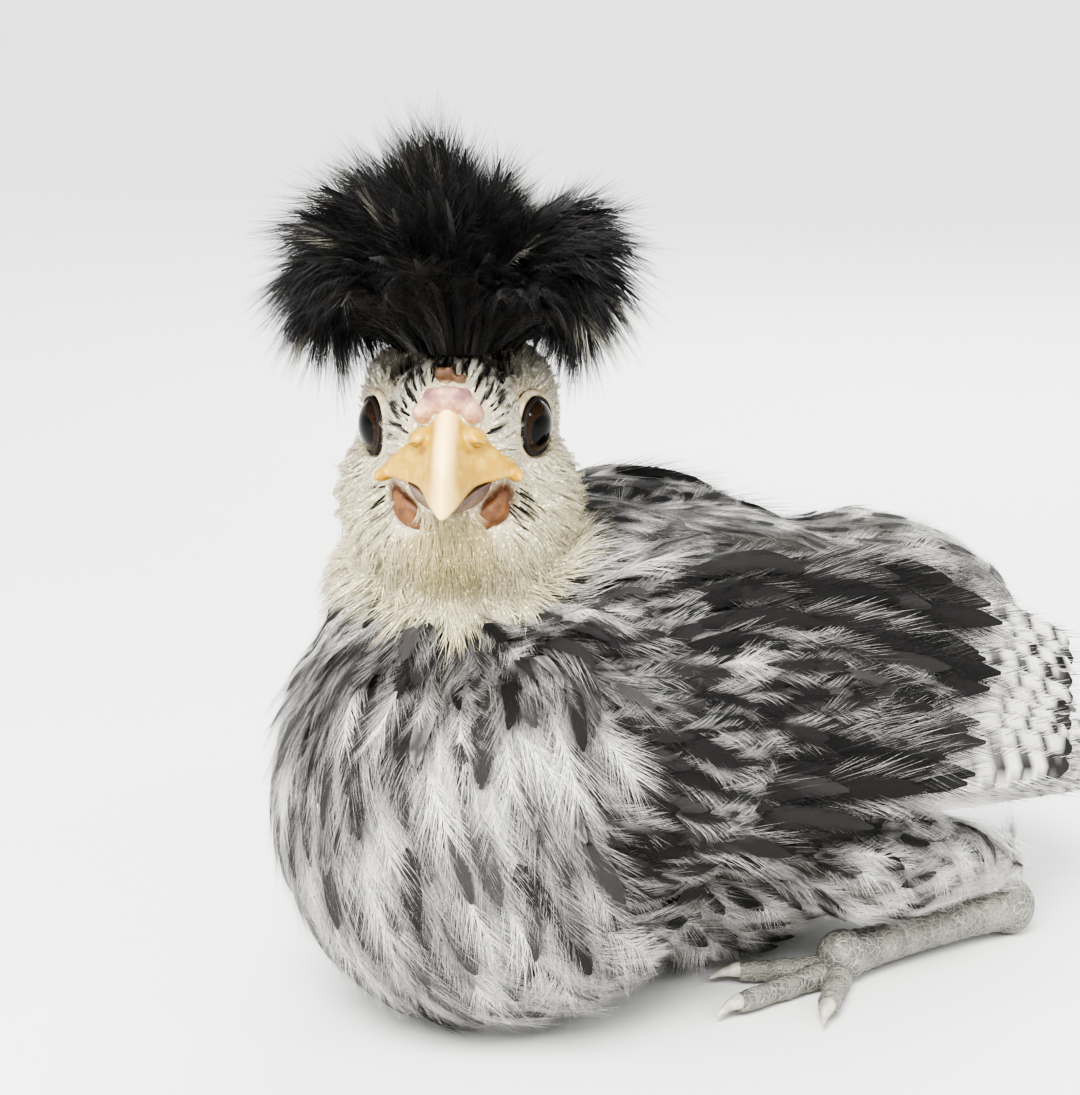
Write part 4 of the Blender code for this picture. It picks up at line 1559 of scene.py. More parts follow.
    @staticmethod
    def _face_marks(head: Array, draw: Array, chance: Chance) -> tuple[Array, Array, Array]:
        """Works out the face's markings: streaks over the beak, bristles, a cream bib that is darker under
        the beak, partly by painted shade, and a pale edge.

        Args:
            head: Roots in head coordinates.
            draw: A number from 0 to 1 for each root.
            chance: Source of the draws.

        Returns:
            For each root its marking, a factor for its width, and its white.
        """
        aside, back, up = mirrored(head).T
        cream = smooth(-up, -0.012, 0.016)[:, None]
        bright = chance.uniform(0.96, 1.08, (len(head), 1)) * (1 - 0.12 * cream)
        pale = bright * (np.array([1.0, 0.975, 0.86]) * (1 - cream) + np.array([1.0, 0.935, 0.66]) * cream)
        # The throat under the beak is darker and yellower: partly its own cream tint, partly painted shade
        # under the beak
        throat_tint_and_shade = 1 - smooth(apart(head, (0.0, -0.011, -0.0125)), 0.004, 0.0088)
        pale = pale * (1 - throat_tint_and_shade[:, None] * np.array([0.16, 0.22, 0.36]))
        edge = smooth(apart(head * (1.5, 1, 1)), 0.026, 0.033)
        edge = edge * smooth(aside, 0.006, 0.011) * smooth(-up, 0.006, 0.012)
        pale = pale * (1 - edge[:, None]) + bright * np.array([0.97, 0.96, 0.94]) * edge[:, None]
        half = 0.0068 + 0.0026 * smooth(up, 0.0055, 0.0095)
        streaky = smooth(up, -0.001, 0.005) * (1 - smooth(aside, half, half + 0.0018)) * 0.55
        at_mouth = apart(mirrored(head), (0.009, -0.01, -0.0088)) < 0.002
        bristly = np.where(head[:, 0] > 0, 0.75, 0.3) * at_mouth
        spotted = np.maximum(smooth(back, 0.012, 0.018) * 0.35, 0.35 * edge)
        marking = np.where(draw < spotted, Marking.SPANGLE, Marking.PLAIN)
        marking = np.where(draw < np.maximum(streaky, bristly), Marking.SOLID, marking)
        return marking, np.where(draw < bristly, 0.45, 1.0), pale


# Crest reach by direction, in degrees from the chick's left up and over to its right, as in the part's source
CREST_OUTLINE = np.array(
    (
        (-25, 0.0208), (-15, 0.024), (0, 0.0275), (15, 0.0298), (35, 0.03), (50, 0.028), (60, 0.0228),
        (70, 0.0262), (90, 0.03), (110, 0.0296), (130, 0.0294), (150, 0.0304), (170, 0.0288),
        (185, 0.0266), (205, 0.0208),
    )
)


@dataclass
class Crest:
    """The crest: its feathers rise from the crown like a fountain and fall outwards."""

    centre: Vector = field(default_factory=lambda: Vector((0.0, 0.001, 0.014)))
    count: int = 1400
    core: Point = (0.0098, 0.008, 0.0058)
    core_black: Point = (0.01, 0.01, 0.011)
    cream: Point = (0.8, 0.76, 0.62)
    blade: Blade = Blade(112, 0.36, 0.2, base=0.5, tip=0.3, ragged=0.4, camber=0.05, thin=0.0052)

    def dress(self, tailor: Tailor) -> None:
        """Builds the dark mass in which the feathers root, and sews the feathers.

        Args:
            tailor: Sews them.
        """
        core = Hand.ball(HEAD @ (self.centre + Vector((0, 0.0032, 0.001))), self.core, HEAD.to_euler(), 32)
        shade_points(core.data, np.tile(self.core_black, (len(core.data.vertices), 1)))
        place_piece(Hand.soft(core), "crest_heart", tailor.material)
        tailor.sew("crest_feathers", "crest_feathers", self.grow(), several(self.blade, 50, 4), ["crest"])

    def grow(self) -> Feathers:
        """Grows the crest's feathers.

        Returns:
            The feathers.
        """
        chance = np.random.default_rng(77)
        disc = chance.uniform(-1, 1, (self.count * 2, 2))
        disc = disc[(disc**2).sum(1) < 1][: self.count]
        across, back = disc.T
        count = len(disc)
        angle = np.clip(90 - across * 122, -27, 207) + chance.normal(0, 5, count)
        lean = np.radians(-back * np.where(back > 0, 88, 62) - 4 + chance.normal(0, 6, count))
        reach = np.interp(angle, CREST_OUTLINE[:, 0], CREST_OUTLINE[:, 1])
        short = chance.uniform(0.0, 1.0, count) ** 1.6
        reach *= (1.0 - 0.38 * short) * (1 - 0.16 * np.sin(lean) ** 2)
        centre = np.array(self.centre)
        behind = np.maximum(back, 0.0)
        root = centre + np.stack([across * 0.01, 0.003 + back * 0.0086, -0.003 - 0.0014 * behind], 1)
        tip = centre + self._heading(angle, lean) * reach[:, None] + chance.normal(0, 0.0006, (count, 3))
        tip += behind[:, None] ** 1.5 * np.array((0.0, 0.002, -0.012))
        rise = unit(np.stack([across * 0.8, back * np.where(back > 0, 0.9, 0.6), np.full(count, 0.9)], 1))
        middle = root + rise * (reach * 0.78)[:, None]
        share = np.linspace(0.0, 1.0, 7)[None, :, None]
        line = root[:, None] * (1 - share) ** 2 + middle[:, None] * 2 * share * (1 - share)
        line = line + tip[:, None] * share**2
        facing = unit(line - centre) @ np.array(HEAD.to_3x3()).T
        facing = unit(facing + chance.normal(0, 0.35, (count, 1, 3)))
        line = placed(line.reshape(-1, 3), HEAD).reshape(line.shape)
        edge = np.isin(np.digitize(angle, (-12, 12, 52, 66, 84, 112, 140, 172)), (1, 3, 6)) & (short < 0.12)
        white = chance.random(count) < np.where(edge, 0.17, 0.006)
        marking = np.where(white, Marking.TIPPED, Marking.SOLID)
        black = chance.uniform(0.006, 0.034, (count, 1)) * np.array([1.0, 0.97, 0.96])
        pale = np.where(white[:, None], np.array(self.cream), black)
        phase = np.where(white, chance.random(count), 0.0)
        width = reach * chance.uniform(0.22, 0.34, count) * np.where(white, 0.55, 1.0)
        return Feathers(line, facing, width, marking, np.ones(count), pale, black, phase)

    @staticmethod
    def _heading(angle: Array, lean: Array) -> Array:
        """Directions in head coordinates from degrees round the crest and radians of forward lean."""
        turn = np.radians(angle)
        return np.stack([np.cos(turn) * np.cos(lean), -np.sin(lean), np.sin(turn) * np.cos(lean)], 1)


# Patterns of the long feathers of wings and tail
VANES = several(
    Blade(120, 0.16, 0.8, base=0.55, tip=0.36, ragged=0.1, thin=0.006, loose=0.05, stations=30), 60, 3
)


@dataclass(frozen=True)
class Row:
    """A row of wing feathers, from its first and last root and tip as (y, z) on the folded wing's sheet."""

    count: int
    roots: tuple[Pair, Pair]
    tips: tuple[Pair, Pair]
    out: float
    roll: float
    width: float
    marking: Marking = Marking.SOLID
    step: float = 0.0

    @property
    def soft(self) -> float:
        """How far its feathers stray from their order: 1 for coverts and little for flight feathers."""
        return 1.0 if self.marking is Marking.SOLID else 0.2


@dataclass
class Wings:
    """The long feathers of both folded wings: four rows of coverts, secondaries and primaries."""

    rows: tuple[Row, ...] = (
        Row(14, ((-0.014, 0.069), (-0.03, 0.033)), ((0.008, 0.068), (-0.006, 0.029)), 0.0052, 12.0, 0.0068),
        Row(14, ((-0.006, 0.067), (-0.02, 0.034)), ((0.024, 0.065), (0.01, 0.0295)), 0.0048, 13.0, 0.0076),
        Row(14, ((0.0, 0.069), (-0.012, 0.035)), ((0.036, 0.064), (0.024, 0.031)), 0.0046, 13.0, 0.0092),
        Row(13, ((0.006, 0.064), (-0.004, 0.035)), ((0.049, 0.0585), (0.037, 0.0325)), 0.0036, 13.0, 0.0092),
        Row(
            10, ((0.02, 0.062), (0.01, 0.0355)), ((0.075, 0.048), (0.07, 0.0295)), 0.0004, 17.0, 0.009,
            Marking.BARRED,
        ),
        Row(
            8, ((0.016, 0.04), (0.008, 0.033)), ((0.086, 0.033), (0.095, 0.0235)), -0.0024, 4.0, 0.008,
            Marking.BARRED, -0.0006,
        ),
    )
    covert: Blade = Blade(
        120, 0.34, 0.48, base=0.5, tip=0.26, ragged=0.35, thin=0.0055, loose=0.14, stations=9
    )
    dark_rows: int = 3
    stations: int = 8

    def dress(self, tailor: Tailor) -> None:
        """Sews both wings' feathers.

        Args:
            tailor: Sews them.
        """
        for side, word in SIDES:
            feathers = self.grow(side)
            firm = feathers.marking == Marking.BARRED
            tailor.sew(f"flight_feathers_{word}", "plumage", feathers.part(firm), VANES, [f"wing_{word}"])
            tailor.sew(f"long_coverts_{word}", "plumage", feathers.part(~firm), several(self.covert, 70, 3))

    @staticmethod
    def _sheet(y: float, z: float) -> tuple[Array, Array]:
        """The folded wing's middle surface.

        Args:
            y: How far back.
            z: How high.

        Returns:
            The surface's point there, and the way that it faces.
        """
        back = (-0.03, -0.01, 0.02, 0.045, 0.06, 0.1)
        reach = np.interp(y, back, (0.0365, 0.0358, 0.0355, 0.0315, 0.0272, 0.018))
        lean = math.tan(math.radians(15))
        slope = np.interp(y, (0.0, 0.03, 0.06, 0.1), (0.0, 0.1, 0.26, 0.26))
        return np.array([reach - (z - 0.04) * lean, y, z]), unit(np.array([1.0, slope, lean]))

    def _shaft(self, row: Row, index: int, side: int, chance: Chance) -> tuple[Array, Array]:
        """Lays one feather's shaft on the sheet.

        Args:
            row: The feather's row.
            index: Its place in the row.
            side: 1 for the left wing and -1 for the right.
            chance: Source of the draws.

        Returns:
            Its stations and the way that it faces at each.
        """
        share = (index + chance.uniform(-0.3, 0.3) * row.soft) / (row.count - 1)
        root, tip = ([a + (b - a) * share for a, b in zip(*ends)] for ends in (row.roots, row.tips))
        tip[0] += chance.uniform(-0.004, 0.004) * row.soft
        tip[1] += chance.uniform(-0.0022, 0.0022) * row.soft
        line, facing = [], []
        for place in np.linspace(0, 1, self.stations):
            y = root[0] + (tip[0] - root[0]) * place
            z = root[1] + (tip[1] - root[1]) * place + 0.0016 * math.sin(math.pi * place)
            point, face = self._sheet(y, z)
            sink = row.out - 0.005 * (1 - min(place * 3.0, 1.0))
            point = point + face * (sink + row.step * index)
            line.append(point * (side, 1, 1) + (0, 0, WING_LIFT[side]) + np.array(SHIFT))
            facing.append(face * (side, 1, 1))
        line, facing = np.array(line), np.array(facing)
        across = unit(np.cross(unit(np.gradient(line, axis=0)), facing))
        roll = math.radians(row.roll + chance.uniform(-3, 3)) * side
        return line, facing * math.cos(roll) + across * math.sin(roll)

    def grow(self, side: int) -> Feathers:
        """Grows one wing's rows.

        Args:
            side: 1 for the left wing and -1 for the right.

        Returns:
            The feathers.
        """
        chance = np.random.default_rng(300 + side)
        shafts, widths, marks, solids = [], [], [], []
        for row in self.rows:
            solid = row.marking is Marking.SOLID
            for index in range(row.count):
                shafts.append(self._shaft(row, index, side, chance))
                widths.append(row.width * chance.uniform(0.93, 1.05))
                over_back = side < 0 and index < 4 and solid
                marks.append(Marking.SPANGLE if over_back else row.marking)
                solids.append(solid)
        count = len(shafts)
        marks, solids = np.array(marks), np.array(solids)
        dark = np.arange(count) < sum(row.count for row in self.rows[: self.dark_rows])
        marks[solids & (chance.random(count) < np.where(dark, 0.0, 0.25))] = Marking.SPANGLE
        pale, black = inks(chance, count)
        lines, facing = (np.array(part) for part in zip(*shafts))
        strength = chance.uniform(0.95, 1.0, count)
        phase = chance.random(count) * np.where(solids, 0.9, 1.0)
        return Feathers(lines, facing, np.array(widths), marks, strength, pale, black, phase)


@dataclass
class Tail:
    """The drooping young tail, as rows of count, fan, length, lift, drop and width."""

    root: Vector = field(default_factory=lambda: Vector((0.0, 0.065, 0.0535)))
    droop: float = math.radians(39)
    length: float = 0.043
    stations: int = 7
    rows: tuple[tuple[int, float, float, float, float, float], ...] = (
        (12, 20.0, 1.0, 0.0012, 0.0085, 0.01),
        (10, 19.0, 0.8, 0.0052, 0.005, 0.0095),
        (9, 22.0, 0.6, 0.0078, 0.004, 0.009),
    )

    def dress(self, tailor: Tailor) -> None:
        """Sews the tail's feathers."""
        tailor.sew("tail_feathers", "plumage", self.grow(), VANES, ["tail"])

    def grow(self) -> Feathers:
        """Grows the tail's feathers.

        Returns:
            The feathers.
        """
        chance = np.random.default_rng(41)
        turn = np.array(Euler((-self.droop, 0, 0)).to_matrix())
        lines, marks, widths = [], [], []
        for number, fan, long, lift, drop, width in self.rows:
            for index in range(number):
                share = index / (number - 1) * 2 - 1
                angle = math.radians(fan * share + chance.uniform(-1, 1))
                depth = drop * abs(share) + (0.0005 if index % 2 else 0.0)
                reach = self.length * long * (1 - 0.06 * abs(share)) * chance.uniform(0.97, 1.02)
                run = np.linspace(0.1, 1.0, self.stations) * reach
                sag = 0.003 * np.linspace(0.1, 1, self.stations) ** 2
                local = np.stack([math.sin(angle) * run, math.cos(angle) * run, lift - depth - sag], 1)
                lines.append(local @ turn.T + np.array(self.root + SHIFT))
                marks.append(Marking.BARRED if lift < 0.004 or index % 3 else Marking.PLAIN)
                widths.append(width)
        count = len(lines)
        facing = np.tile(turn @ np.array([0, 0, 1.0]), (count, self.stations, 1))
        pale, black = inks(chance, count)
        widths, marks = np.array(widths), np.array(marks)
        strength, phase = chance.uniform(0.95, 1.0, count), chance.random(count)
        return Feathers(np.array(lines), facing, widths, marks, strength, pale, black, phase)


@dataclass
class Face:
    """The head's bare parts: eyes, lids, beak, comb, wattles and ears."""

    upper: tuple[Station, ...] = (
        (-0.006, 0.0066, -0.0042, 0.0098),
        (-0.009, 0.0066, -0.0043, 0.0099),
        (-0.0115, 0.0062, -0.0044, 0.0097),
        (-0.0131, 0.0056, -0.0044, 0.0086),
        (-0.0144, 0.005, -0.0045, 0.0063),
        (-0.0156, 0.0043, -0.0047, 0.0044),
        (-0.0175, 0.0031, -0.0051, 0.0035),
        (-0.0195, 0.0015, -0.0056, 0.0028),
        (-0.0213, -0.0005, -0.0062, 0.0021),
        (-0.0226, -0.0027, -0.0067, 0.0013),
        (-0.0234, -0.0047, -0.0071, 0.0008),
        (-0.0238, -0.006, -0.0073, 0.0003),
    )
    lower: tuple[Station, ...] = (
        (-0.006, -0.0046, -0.01, 0.009),
        (-0.0092, -0.0048, -0.0104, 0.0083),
        (-0.012, -0.005, -0.0101, 0.0068),
        (-0.0145, -0.0054, -0.0095, 0.005),
        (-0.017, -0.0059, -0.0088, 0.0034),
        (-0.0192, -0.0064, -0.008, 0.0018),
    )
    ridge: float = 0.0027

    @staticmethod
    def _half(stations: Sequence[Station], arch: int) -> Object:
        """Draws half a beak, station by station, and flattens the side that meets the other half.

        Args:
            stations: Places along the beak, with the half's top, its edge and its half width at each.
            arch: 1 for the upper half and -1 for the lower.

        Returns:
            The half beak.
        """
        heading = HEAD.to_3x3() @ Matrix(((1, 0, 0), (0, 0, -1), (0, 1, 0))).transposed().inverted()
        upper = arch > 0
        rings = [
            (HEAD @ Vector((0.0, place, edge if upper else top)), width, top - edge)
            for place, top, edge, width in stations
        ]
        body = Hand.drawn(rings, heading, 28)
        ahead = [-station[0] for station in stations]
        seam = [station[2 if upper else 1] for station in stations]
        build = bmesh.new()
        build.from_mesh(body.data)
        for vert in build.verts:
            local = HEAD_BACK @ vert.co
            flat = float(np.interp(-local.y, ahead, seam))
            if (local.z - flat) * arch < 0:
                local.z = flat + (local.z - flat) * 0.06
            elif upper:
                wide = float(np.interp(-local.y, ahead, [station[3] for station in stations]))
                share = min(abs(local.x) / wide, 1.0)
                ridge = min(Face.ridge, wide * 0.72)
                local.x = math.copysign(ridge * share + (wide - ridge) * share**6, local.x)
            vert.co = HEAD @ local
        build.to_mesh(body.data)
        build.free()
        return Hand.modify(body, "SUBSURF", levels=2, render_levels=2)

    @staticmethod
    def _ball(centre: Point, radii: Point, turn: Point, fine: int = 20, side: int = 1) -> Object:
        """Makes a ball in head coordinates.

        Args:
            centre: Its middle.
            radii: Its radii.
            turn: Its turn in degrees.
            fine: Number of its segments.
            side: 1 for the ball as given and -1 for its mirror image.

        Returns:
            The ball.
        """
        x, y, z = centre
        turn = [math.radians(a) for a in (turn[0], side * turn[1], side * turn[2])]
        twist = HEAD.to_3x3() @ Euler(turn).to_matrix()
        return Hand.ball(HEAD @ Vector((side * x, y, z)), radii, twist.to_euler(), fine)

    @classmethod
    def _pair(cls, centre: Point, radii: Point, turn: Point) -> list[Object]:
        """A ball and its mirror image."""
        return [cls._ball(centre, radii, turn, side=side) for side in (1, -1)]

    @staticmethod
    def _fused(pieces: Sequence[Object], grain: float, rounds: int = 3) -> Object:
        """Fuses pieces into one soft surface.

        Args:
            pieces: The pieces.
            grain: Size of the surface's cells.
            rounds: How often it is smoothed.

        Returns:
            The fused piece.
        """
        body = Hand.joined(pieces)
        Hand.modify(body, "REMESH", mode="VOXEL", voxel_size=grain)
        return Hand.modify(body, "SMOOTH", factor=0.5, iterations=rounds)

    def dress(self) -> None:
        """Builds all of the head's bare parts."""
        self.beak()
        self.eyes()
        self.comb()
        self.wattles_and_ears()

    def beak(self) -> None:
        """Builds both halves of the beak, with raised flaps over deep nostrils."""
        flaps = self._pair((0.0039, -0.0128, 0.0015), (0.0018, 0.0028, 0.0012), (0, 26, 8))
        rolls = self._pair((0.0092, -0.0113, -0.0044), (0.0009, 0.0026, 0.0011), (0, 10, 30))
        upper = self._fused([self._half(self.upper, 1), *flaps, *rolls], 0.00028, 4)
        for side in (1, -1):
            hole = self._ball((0.0049, -0.0155, 0.0006), (0.0012, 0.0017, 0.0007), (0, 25, 20), 16, side)
            Hand.carve(upper, hole)
        place_piece(Hand.soft(upper), "beak_upper_horn", Horn().material(), ["beak_upper"])
        inner = Horn("inner horn", (0.13, 0.09, 0.075), (0.22, 0.14, 0.105), 1.0).material()
        place_piece(Hand.soft(self._half(self.lower, -1)), "beak_lower_horn", inner, ["beak_lower"])

    def eyes(self) -> None:
        """Builds the eyeballs, and round each a thin dark rim within a pale fold of skin."""
        dark = BareSkin("dark lid skin", (0.018, 0.013, 0.011), (0.009, 0.007, 0.006), 0.85).material()
        pale = BareSkin("pale lid skin", (0.7, 0.6, 0.42), (0.46, 0.36, 0.22), 0.6).material()
        lids = (("lid_rim", 0.00404, 0.0003, dark), ("lid_fold", 0.00476, 0.00062, pale))
        for side, word in SIDES:
            centre, aim = flipped(EYE_CENTRE, side), flipped(EYE_AIM, side)
            ball = Hand.ball(HEAD @ centre, (EYE_RADIUS,) * 3, fine=40)
            iris = Iris(f"iris {word}", side).material()
            place_piece(Hand.soft(ball), f"eyeball_{word}", iris, [f"eye_{word}"])
            turn = (HEAD.to_3x3() @ aim).to_track_quat("Z", "Y")
            for label, radius, thick, finish in lids:
                depth = math.sqrt(EYE_RADIUS**2 - radius**2)
                Hand.clear()
                bpy.ops.mesh.primitive_torus_add(
                    major_segments=48, minor_segments=14, major_radius=radius, minor_radius=thick,
                    location=HEAD @ (centre + aim * depth), rotation=turn.to_euler(),
                )
                ring = Hand.settle(bpy.context.object)
                place_piece(Hand.soft(ring), f"{label}_{word}", finish)

    def comb(self) -> None:
        """Builds the comb with its buds and crust."""
        buds = [self._ball((0.0, -0.0108, 0.0056), (0.004, 0.0036, 0.002), (-50, 0, 0))]
        chance = np.random.default_rng(8)
        for _ in range(16):
            across, back, up = chance.uniform((-0.002, -0.0092, 0.0084), (0.002, -0.0086, 0.01))
            size = chance.uniform(0.0004, 0.0009)
            turn = tuple(chance.uniform(-60, 60, 3))
            buds.append(self._ball((across, back, up), (size, size * 1.1, size * 0.8), turn, 10))
        buds += self._pair((0.0024, -0.011, 0.0072), (0.001, 0.0011, 0.0008), (-40, 18, 0))
        buds += self._pair((0.0034, -0.0112, 0.0044), (0.0016, 0.0026, 0.0016), (-30, 35, 0))
        fused = self._fused(buds, 0.00026, 5)
        place_piece(Hand.soft(fused), "comb_buds", Cere().material(), ["comb"])

    def wattles_and_ears(self) -> None:
        """Builds the wattles at the mouth's corners and the ear lobes under the down."""
        pink = BareSkin("ear skin", (0.74, 0.6, 0.54), (0.56, 0.38, 0.36)).material()
        orange = BareSkin("mouth corner skin", (0.195, 0.082, 0.026), (0.105, 0.04, 0.014)).material()
        wattle = (
            ((0.0058, -0.0108, -0.0106), (0.0029, 0.0017, 0.0023), (20, -20, 25)),
            ((0.007, -0.0104, -0.0084), (0.0014, 0.0015, 0.0018), (0, 15, 30)),
            ((0.0046, -0.0116, -0.0116), (0.0022, 0.0014, 0.0014), (20, -25, 20)),
        )
        for side, word in SIDES:
            fused = Hand.soft(self._fused([self._ball(*shape, side=side) for shape in wattle], 0.0003))
            place_piece(fused, f"wattle_skin_{word}", orange, [f"wattle_{word}"])
            ear = self._ball((0.0128, 0.008, -0.0065), (0.0018, 0.003, 0.003), (0, 0, -12), 24, side)
            cup = self._ball((0.0152, 0.0085, -0.0062), (0.0014, 0.0018, 0.0018), (0, 0, -12), 16, side)
            Hand.carve(ear, cup)
            place_piece(Hand.soft(ear), f"ear_lobe_{word}", pink, [f"ear_{word}"])


@dataclass
class Legs:
    """Shanks, toes and claws on the floor, from the part's own sizes."""

    hock: Vector = field(default_factory=lambda: Vector((0.024, 0.057, 0.005)))
    ankle: Vector = field(default_factory=lambda: Vector((0.0275, 0.018, 0.0042)))
    shank_radius: float = 0.0033
    toe_radius: float = 0.0023
    claw_radius: float = 0.0013
    claw_length: float = 0.0048
    shank_swell: tuple[float, ...] = (1.25, 1.0, 0.95, 0.95, 1.1)
    toe_swell: tuple[float, ...] = (1.12, 0.92, 0.98, 0.82, 0.88, 0.74, 0.78, 0.66)
    toes: tuple[tuple[str, float, float], ...] = (
        ("inner", -24.0, 0.017), ("middle", 10.0, 0.024), ("outer", 44.0, 0.018), ("back", -128.0, 0.008),
    )

    @staticmethod
    def _limb(start: Vector, end: Vector, radii: Sequence[float], scutes: int, squash: float = 1.0) -> Object:
        """A limb with a raised edge at each scute.

        Args:
            start: Its first end.
            end: Its other end.
            radii: Radii along it.
            scutes: Number of scutes.
            squash: Height over width.

        Returns:
            The closed limb.
        """
        rings = []
        for index in range(scutes * 2 + 1):
            share = index / (scutes * 2)
            wide = float(np.interp(share, np.linspace(0, 1, len(radii)), radii))
            wide *= 1.035 if index % 2 else 0.955
            rings.append((start.lerp(end, share), wide, wide * squash))
        return Hand.drawn(rings, (end - start).normalized().to_track_quat("Z", "Y").to_matrix(), 16)

    @staticmethod
    def _floored(pieces: Sequence[Object]) -> Object:
        """Joins pieces and presses their underside flat on the floor.

        Args:
            pieces: The pieces.

        Returns:
            The first of them, with the meshes of all.
        """
        obj = Hand.joined(pieces)
        for vert in obj.data.vertices:
            vert.co.z = max(vert.co.z, 0.0)
        return Hand.soft(obj)

    def _claw(self, base: Vector, ahead: Vector) -> Object:
        """A claw that bends down from the toe's tip.

        Args:
            base: The toe's tip.
            ahead: Where the toe points.

        Returns:
            The claw.
        """
        rings = []
        for share in (0.0, 0.2, 0.4, 0.6, 0.8, 1.0):
            drop = Vector((0, 0, 0.0004 - 0.0013 * share**2))
            wide = self.claw_radius * (1 - 0.86 * share)
            rings.append((base + ahead * (self.claw_length * share) + drop, wide, wide))
        return Hand.drawn(rings, ahead.to_track_quat("Z", "Y").to_matrix(), 12)

    def dress(self) -> None:
        """Builds both legs."""
        scales, horn = Scales().material(), ClawHorn().material()
        for side, word in SIDES:
            hock, ankle = (flipped(place, side) + SHIFT for place in (self.hock, self.ankle))
            shank = self._limb(hock, ankle, [self.shank_radius * k for k in self.shank_swell], 15)
            knob = Hand.ball(hock, (0.0045, 0.0049, 0.005), fine=20)
            shank = self._floored([shank, knob])
            place_piece(shank, f"shank_scutes_{word}", scales, [f"shank_{word}"])
            parts, claws = [Hand.ball(ankle, (0.0041, 0.0043, 0.0042), fine=20)], []
            for name, turn, length in self.toes:
                angle = math.radians(turn) * side
                ahead = Vector((math.sin(angle), -math.cos(angle), 0))
                root = Vector((ankle.x, ankle.y, self.toe_radius * 0.9))
                tip = root + ahead * length
                swell = [self.toe_radius * k for k in self.toe_swell]
                parts.append(self._limb(root, tip, swell, max(6, int(length / 0.0016)), 0.95))
                claws.append((name, self._claw(tip, ahead)))
            place_piece(self._floored(parts), f"foot_scutes_{word}", scales, [f"foot_{word}"])
            for name, claw in claws:
                node = f"claw_{name}_{word}"
                place_piece(Hand.soft(claw), f"nail_{name}_{word}", horn, [node])


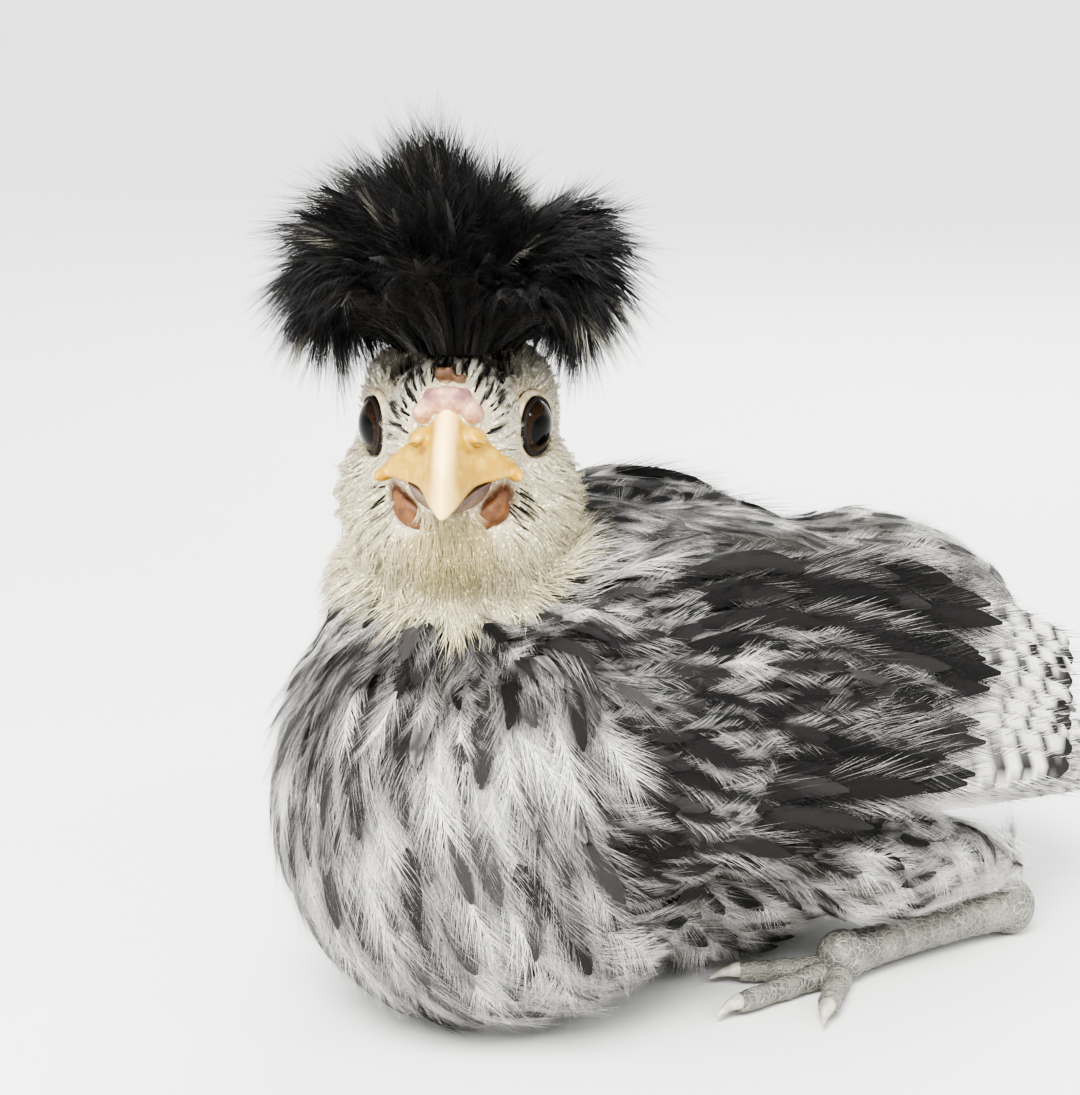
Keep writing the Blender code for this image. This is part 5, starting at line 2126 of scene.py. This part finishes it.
@dataclass
class Studio:
    """A plain pale floor that rises into a backdrop, soft lights and the camera."""

    floor_grey: Point = (0.78, 0.78, 0.76)
    floor_radius: float = 3.2
    wall: float = 1.3
    aim: Point = (0.0, 0.0, 0.06)
    lamps: tuple[tuple[str, Point, float, float], ...] = (
        ("key", (0.55, -0.55, 0.85), 0.5, 16.0),
        ("rim", (-0.6, 0.6, 0.8), 0.8, 8.0),
        ("fill", (0.8, -0.85, 0.13), 0.7, 5.0),
        ("glint_left", (0.85, 0.3, 0.66), 0.15, 2.2),
        ("glint_right", (-0.06, -0.95, 0.66), 0.15, 2.2),
    )
    sun: Point = (0.62, -0.66, 0.8)
    sun_strength: float = 2.9
    surround: Point = (0.95, 0.97, 1.0)
    surround_strength: float = 0.72

    def build(self) -> None:
        """Builds the studio."""
        self._floor()
        for name, place, size, power in self.lamps:
            lamp = self._lamp(name, "AREA", Vector(place), Vector(self.aim), power)
            lamp.size = size
        self._lamp("daylight", "SUN", Vector(self.sun), Vector(), self.sun_strength).angle = math.radians(60)
        world = bpy.data.worlds.new("soft surround")
        bpy.context.scene.world = world
        world.use_nodes = True
        ground = world.node_tree.nodes["Background"]
        ground.inputs["Color"].default_value = (*self.surround, 1.0)
        ground.inputs["Strength"].default_value = self.surround_strength
        bpy.context.scene.view_settings.look = "AgX - High Contrast"
        self._camera()

    def _floor(self) -> None:
        """Makes a round floor that curves up into a low wall."""
        paint = Paint("pale floor", 0.9)
        paint.feed("Base Color", self.floor_grey)
        Hand.clear()
        bpy.ops.mesh.primitive_circle_add(
            vertices=96, radius=self.floor_radius, fill_type="NGON", location=(0, 0, 0)
        )
        floor = bpy.context.object
        bpy.ops.object.mode_set(mode="EDIT")
        bpy.ops.mesh.select_all(action="SELECT")
        bpy.ops.mesh.inset(thickness=1.5, depth=0.0)
        bpy.ops.mesh.select_all(action="DESELECT")
        bpy.ops.object.mode_set(mode="OBJECT")
        for vert in floor.data.vertices:
            vert.select = vert.co.length > self.floor_radius - 0.2
        bpy.ops.object.mode_set(mode="EDIT")
        bpy.ops.transform.translate(value=(0, 0, self.wall))
        bpy.ops.object.mode_set(mode="OBJECT")
        Hand.modify(floor, "BEVEL", width=1.2, segments=12)
        Hand.soft(floor)
        floor.name = "studio_floor"
        floor.data.materials.append(paint.material)

    @staticmethod
    def _lamp(name: str, kind: str, place: Vector, aim: Vector, power: float) -> Light:
        """Adds a light.

        Args:
            name: Its name.
            kind: Its type.
            place: Where it stands.
            aim: Where it points.
            power: Its power.

        Returns:
            The light's data.
        """
        data = bpy.data.lights.new(name, kind)
        data.energy = power
        lamp = bpy.data.objects.new(name, data)
        lamp.location = place
        lamp.rotation_euler = (aim - place).to_track_quat("-Z", "Y").to_euler()
        bpy.context.scene.collection.objects.link(lamp)
        return data

    @staticmethod
    def _camera() -> None:
        """Adds the camera at the photograph's viewing angle."""
        data = bpy.data.cameras.new("view")
        data.sensor_fit = "HORIZONTAL"
        data.sensor_width = 36.0
        data.lens = data.sensor_width * FOCAL_PIXELS / FRAME_WIDTH
        data.clip_start = 0.01
        camera = bpy.data.objects.new("view", data)
        sine, cosine = math.sin(CAMERA_AZIMUTH), math.cos(CAMERA_AZIMUTH)
        across = CAMERA_DISTANCE * sine - CAMERA_ASIDE * cosine
        along = -CAMERA_DISTANCE * cosine - CAMERA_ASIDE * sine
        camera.location = Vector((across, along, CAMERA_HEIGHT)) + SHIFT
        camera.rotation_euler = (math.pi / 2 - CAMERA_DIP, 0, CAMERA_AZIMUTH)
        bpy.context.scene.collection.objects.link(camera)
        bpy.context.scene.camera = camera


def colour_skin(skin: Skin, material: Material) -> None:
    """Args:
        skin: The skin.
        material: The plume material.
    """
    mesh = skin.obj.data
    head = placed(skin.points, HEAD_BACK)
    tract = tract_of(skin.points, read(mesh.vertices, "normal"))
    dark = darkness(skin.points)[:, None]
    crown = smooth(-apart(head, (0, 0.0055, 0.015)), -0.0085, -0.0065)[:, None]
    mouth = smooth(-apart(mirrored(head), (0.0066, -0.0112, -0.0084)), -0.0038, -0.0024)[:, None]
    shade = np.array([0.1, 0.095, 0.085]) * (1 - dark) + np.array([0.012, 0.012, 0.012]) * dark
    shade[tract == TRACTS.index(Region.FACE)] = (0.84, 0.76, 0.56)
    for share, colour in ((crown, (0.012, 0.012, 0.013)), (mouth, (0.17, 0.075, 0.04))):
        shade = shade * (1 - share) + np.array(colour) * share
    shade_points(mesh, shade)
    mesh.polygons.foreach_set("use_smooth", np.ones(len(mesh.polygons), bool))
    place_piece(skin.obj, "skin", material, FLESH)


def main() -> None:
    """Builds and dresses the chick, in order."""
    logging.basicConfig(level=logging.INFO, format="%(message)s")
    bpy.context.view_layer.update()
    plume = Plume("spangled plumage").material()
    gloss = Plume("glossy black plumage", roughness=0.45, sheen=0.03).material()
    skin = Skin()
    colour_skin(skin, plume)
    tailor, crest_tailor = Tailor(skin, plume), Tailor(skin, gloss)
    Coat(skin, tailor).dress()
    Crest().dress(crest_tailor)
    Wings().dress(tailor)
    Tail().dress(tailor)
    LOG.info("coat: %d triangles", tailor.total + crest_tailor.total)
    Face().dress()
    Legs().dress()
    Studio().build()


if __name__ == "__main__":
    main()
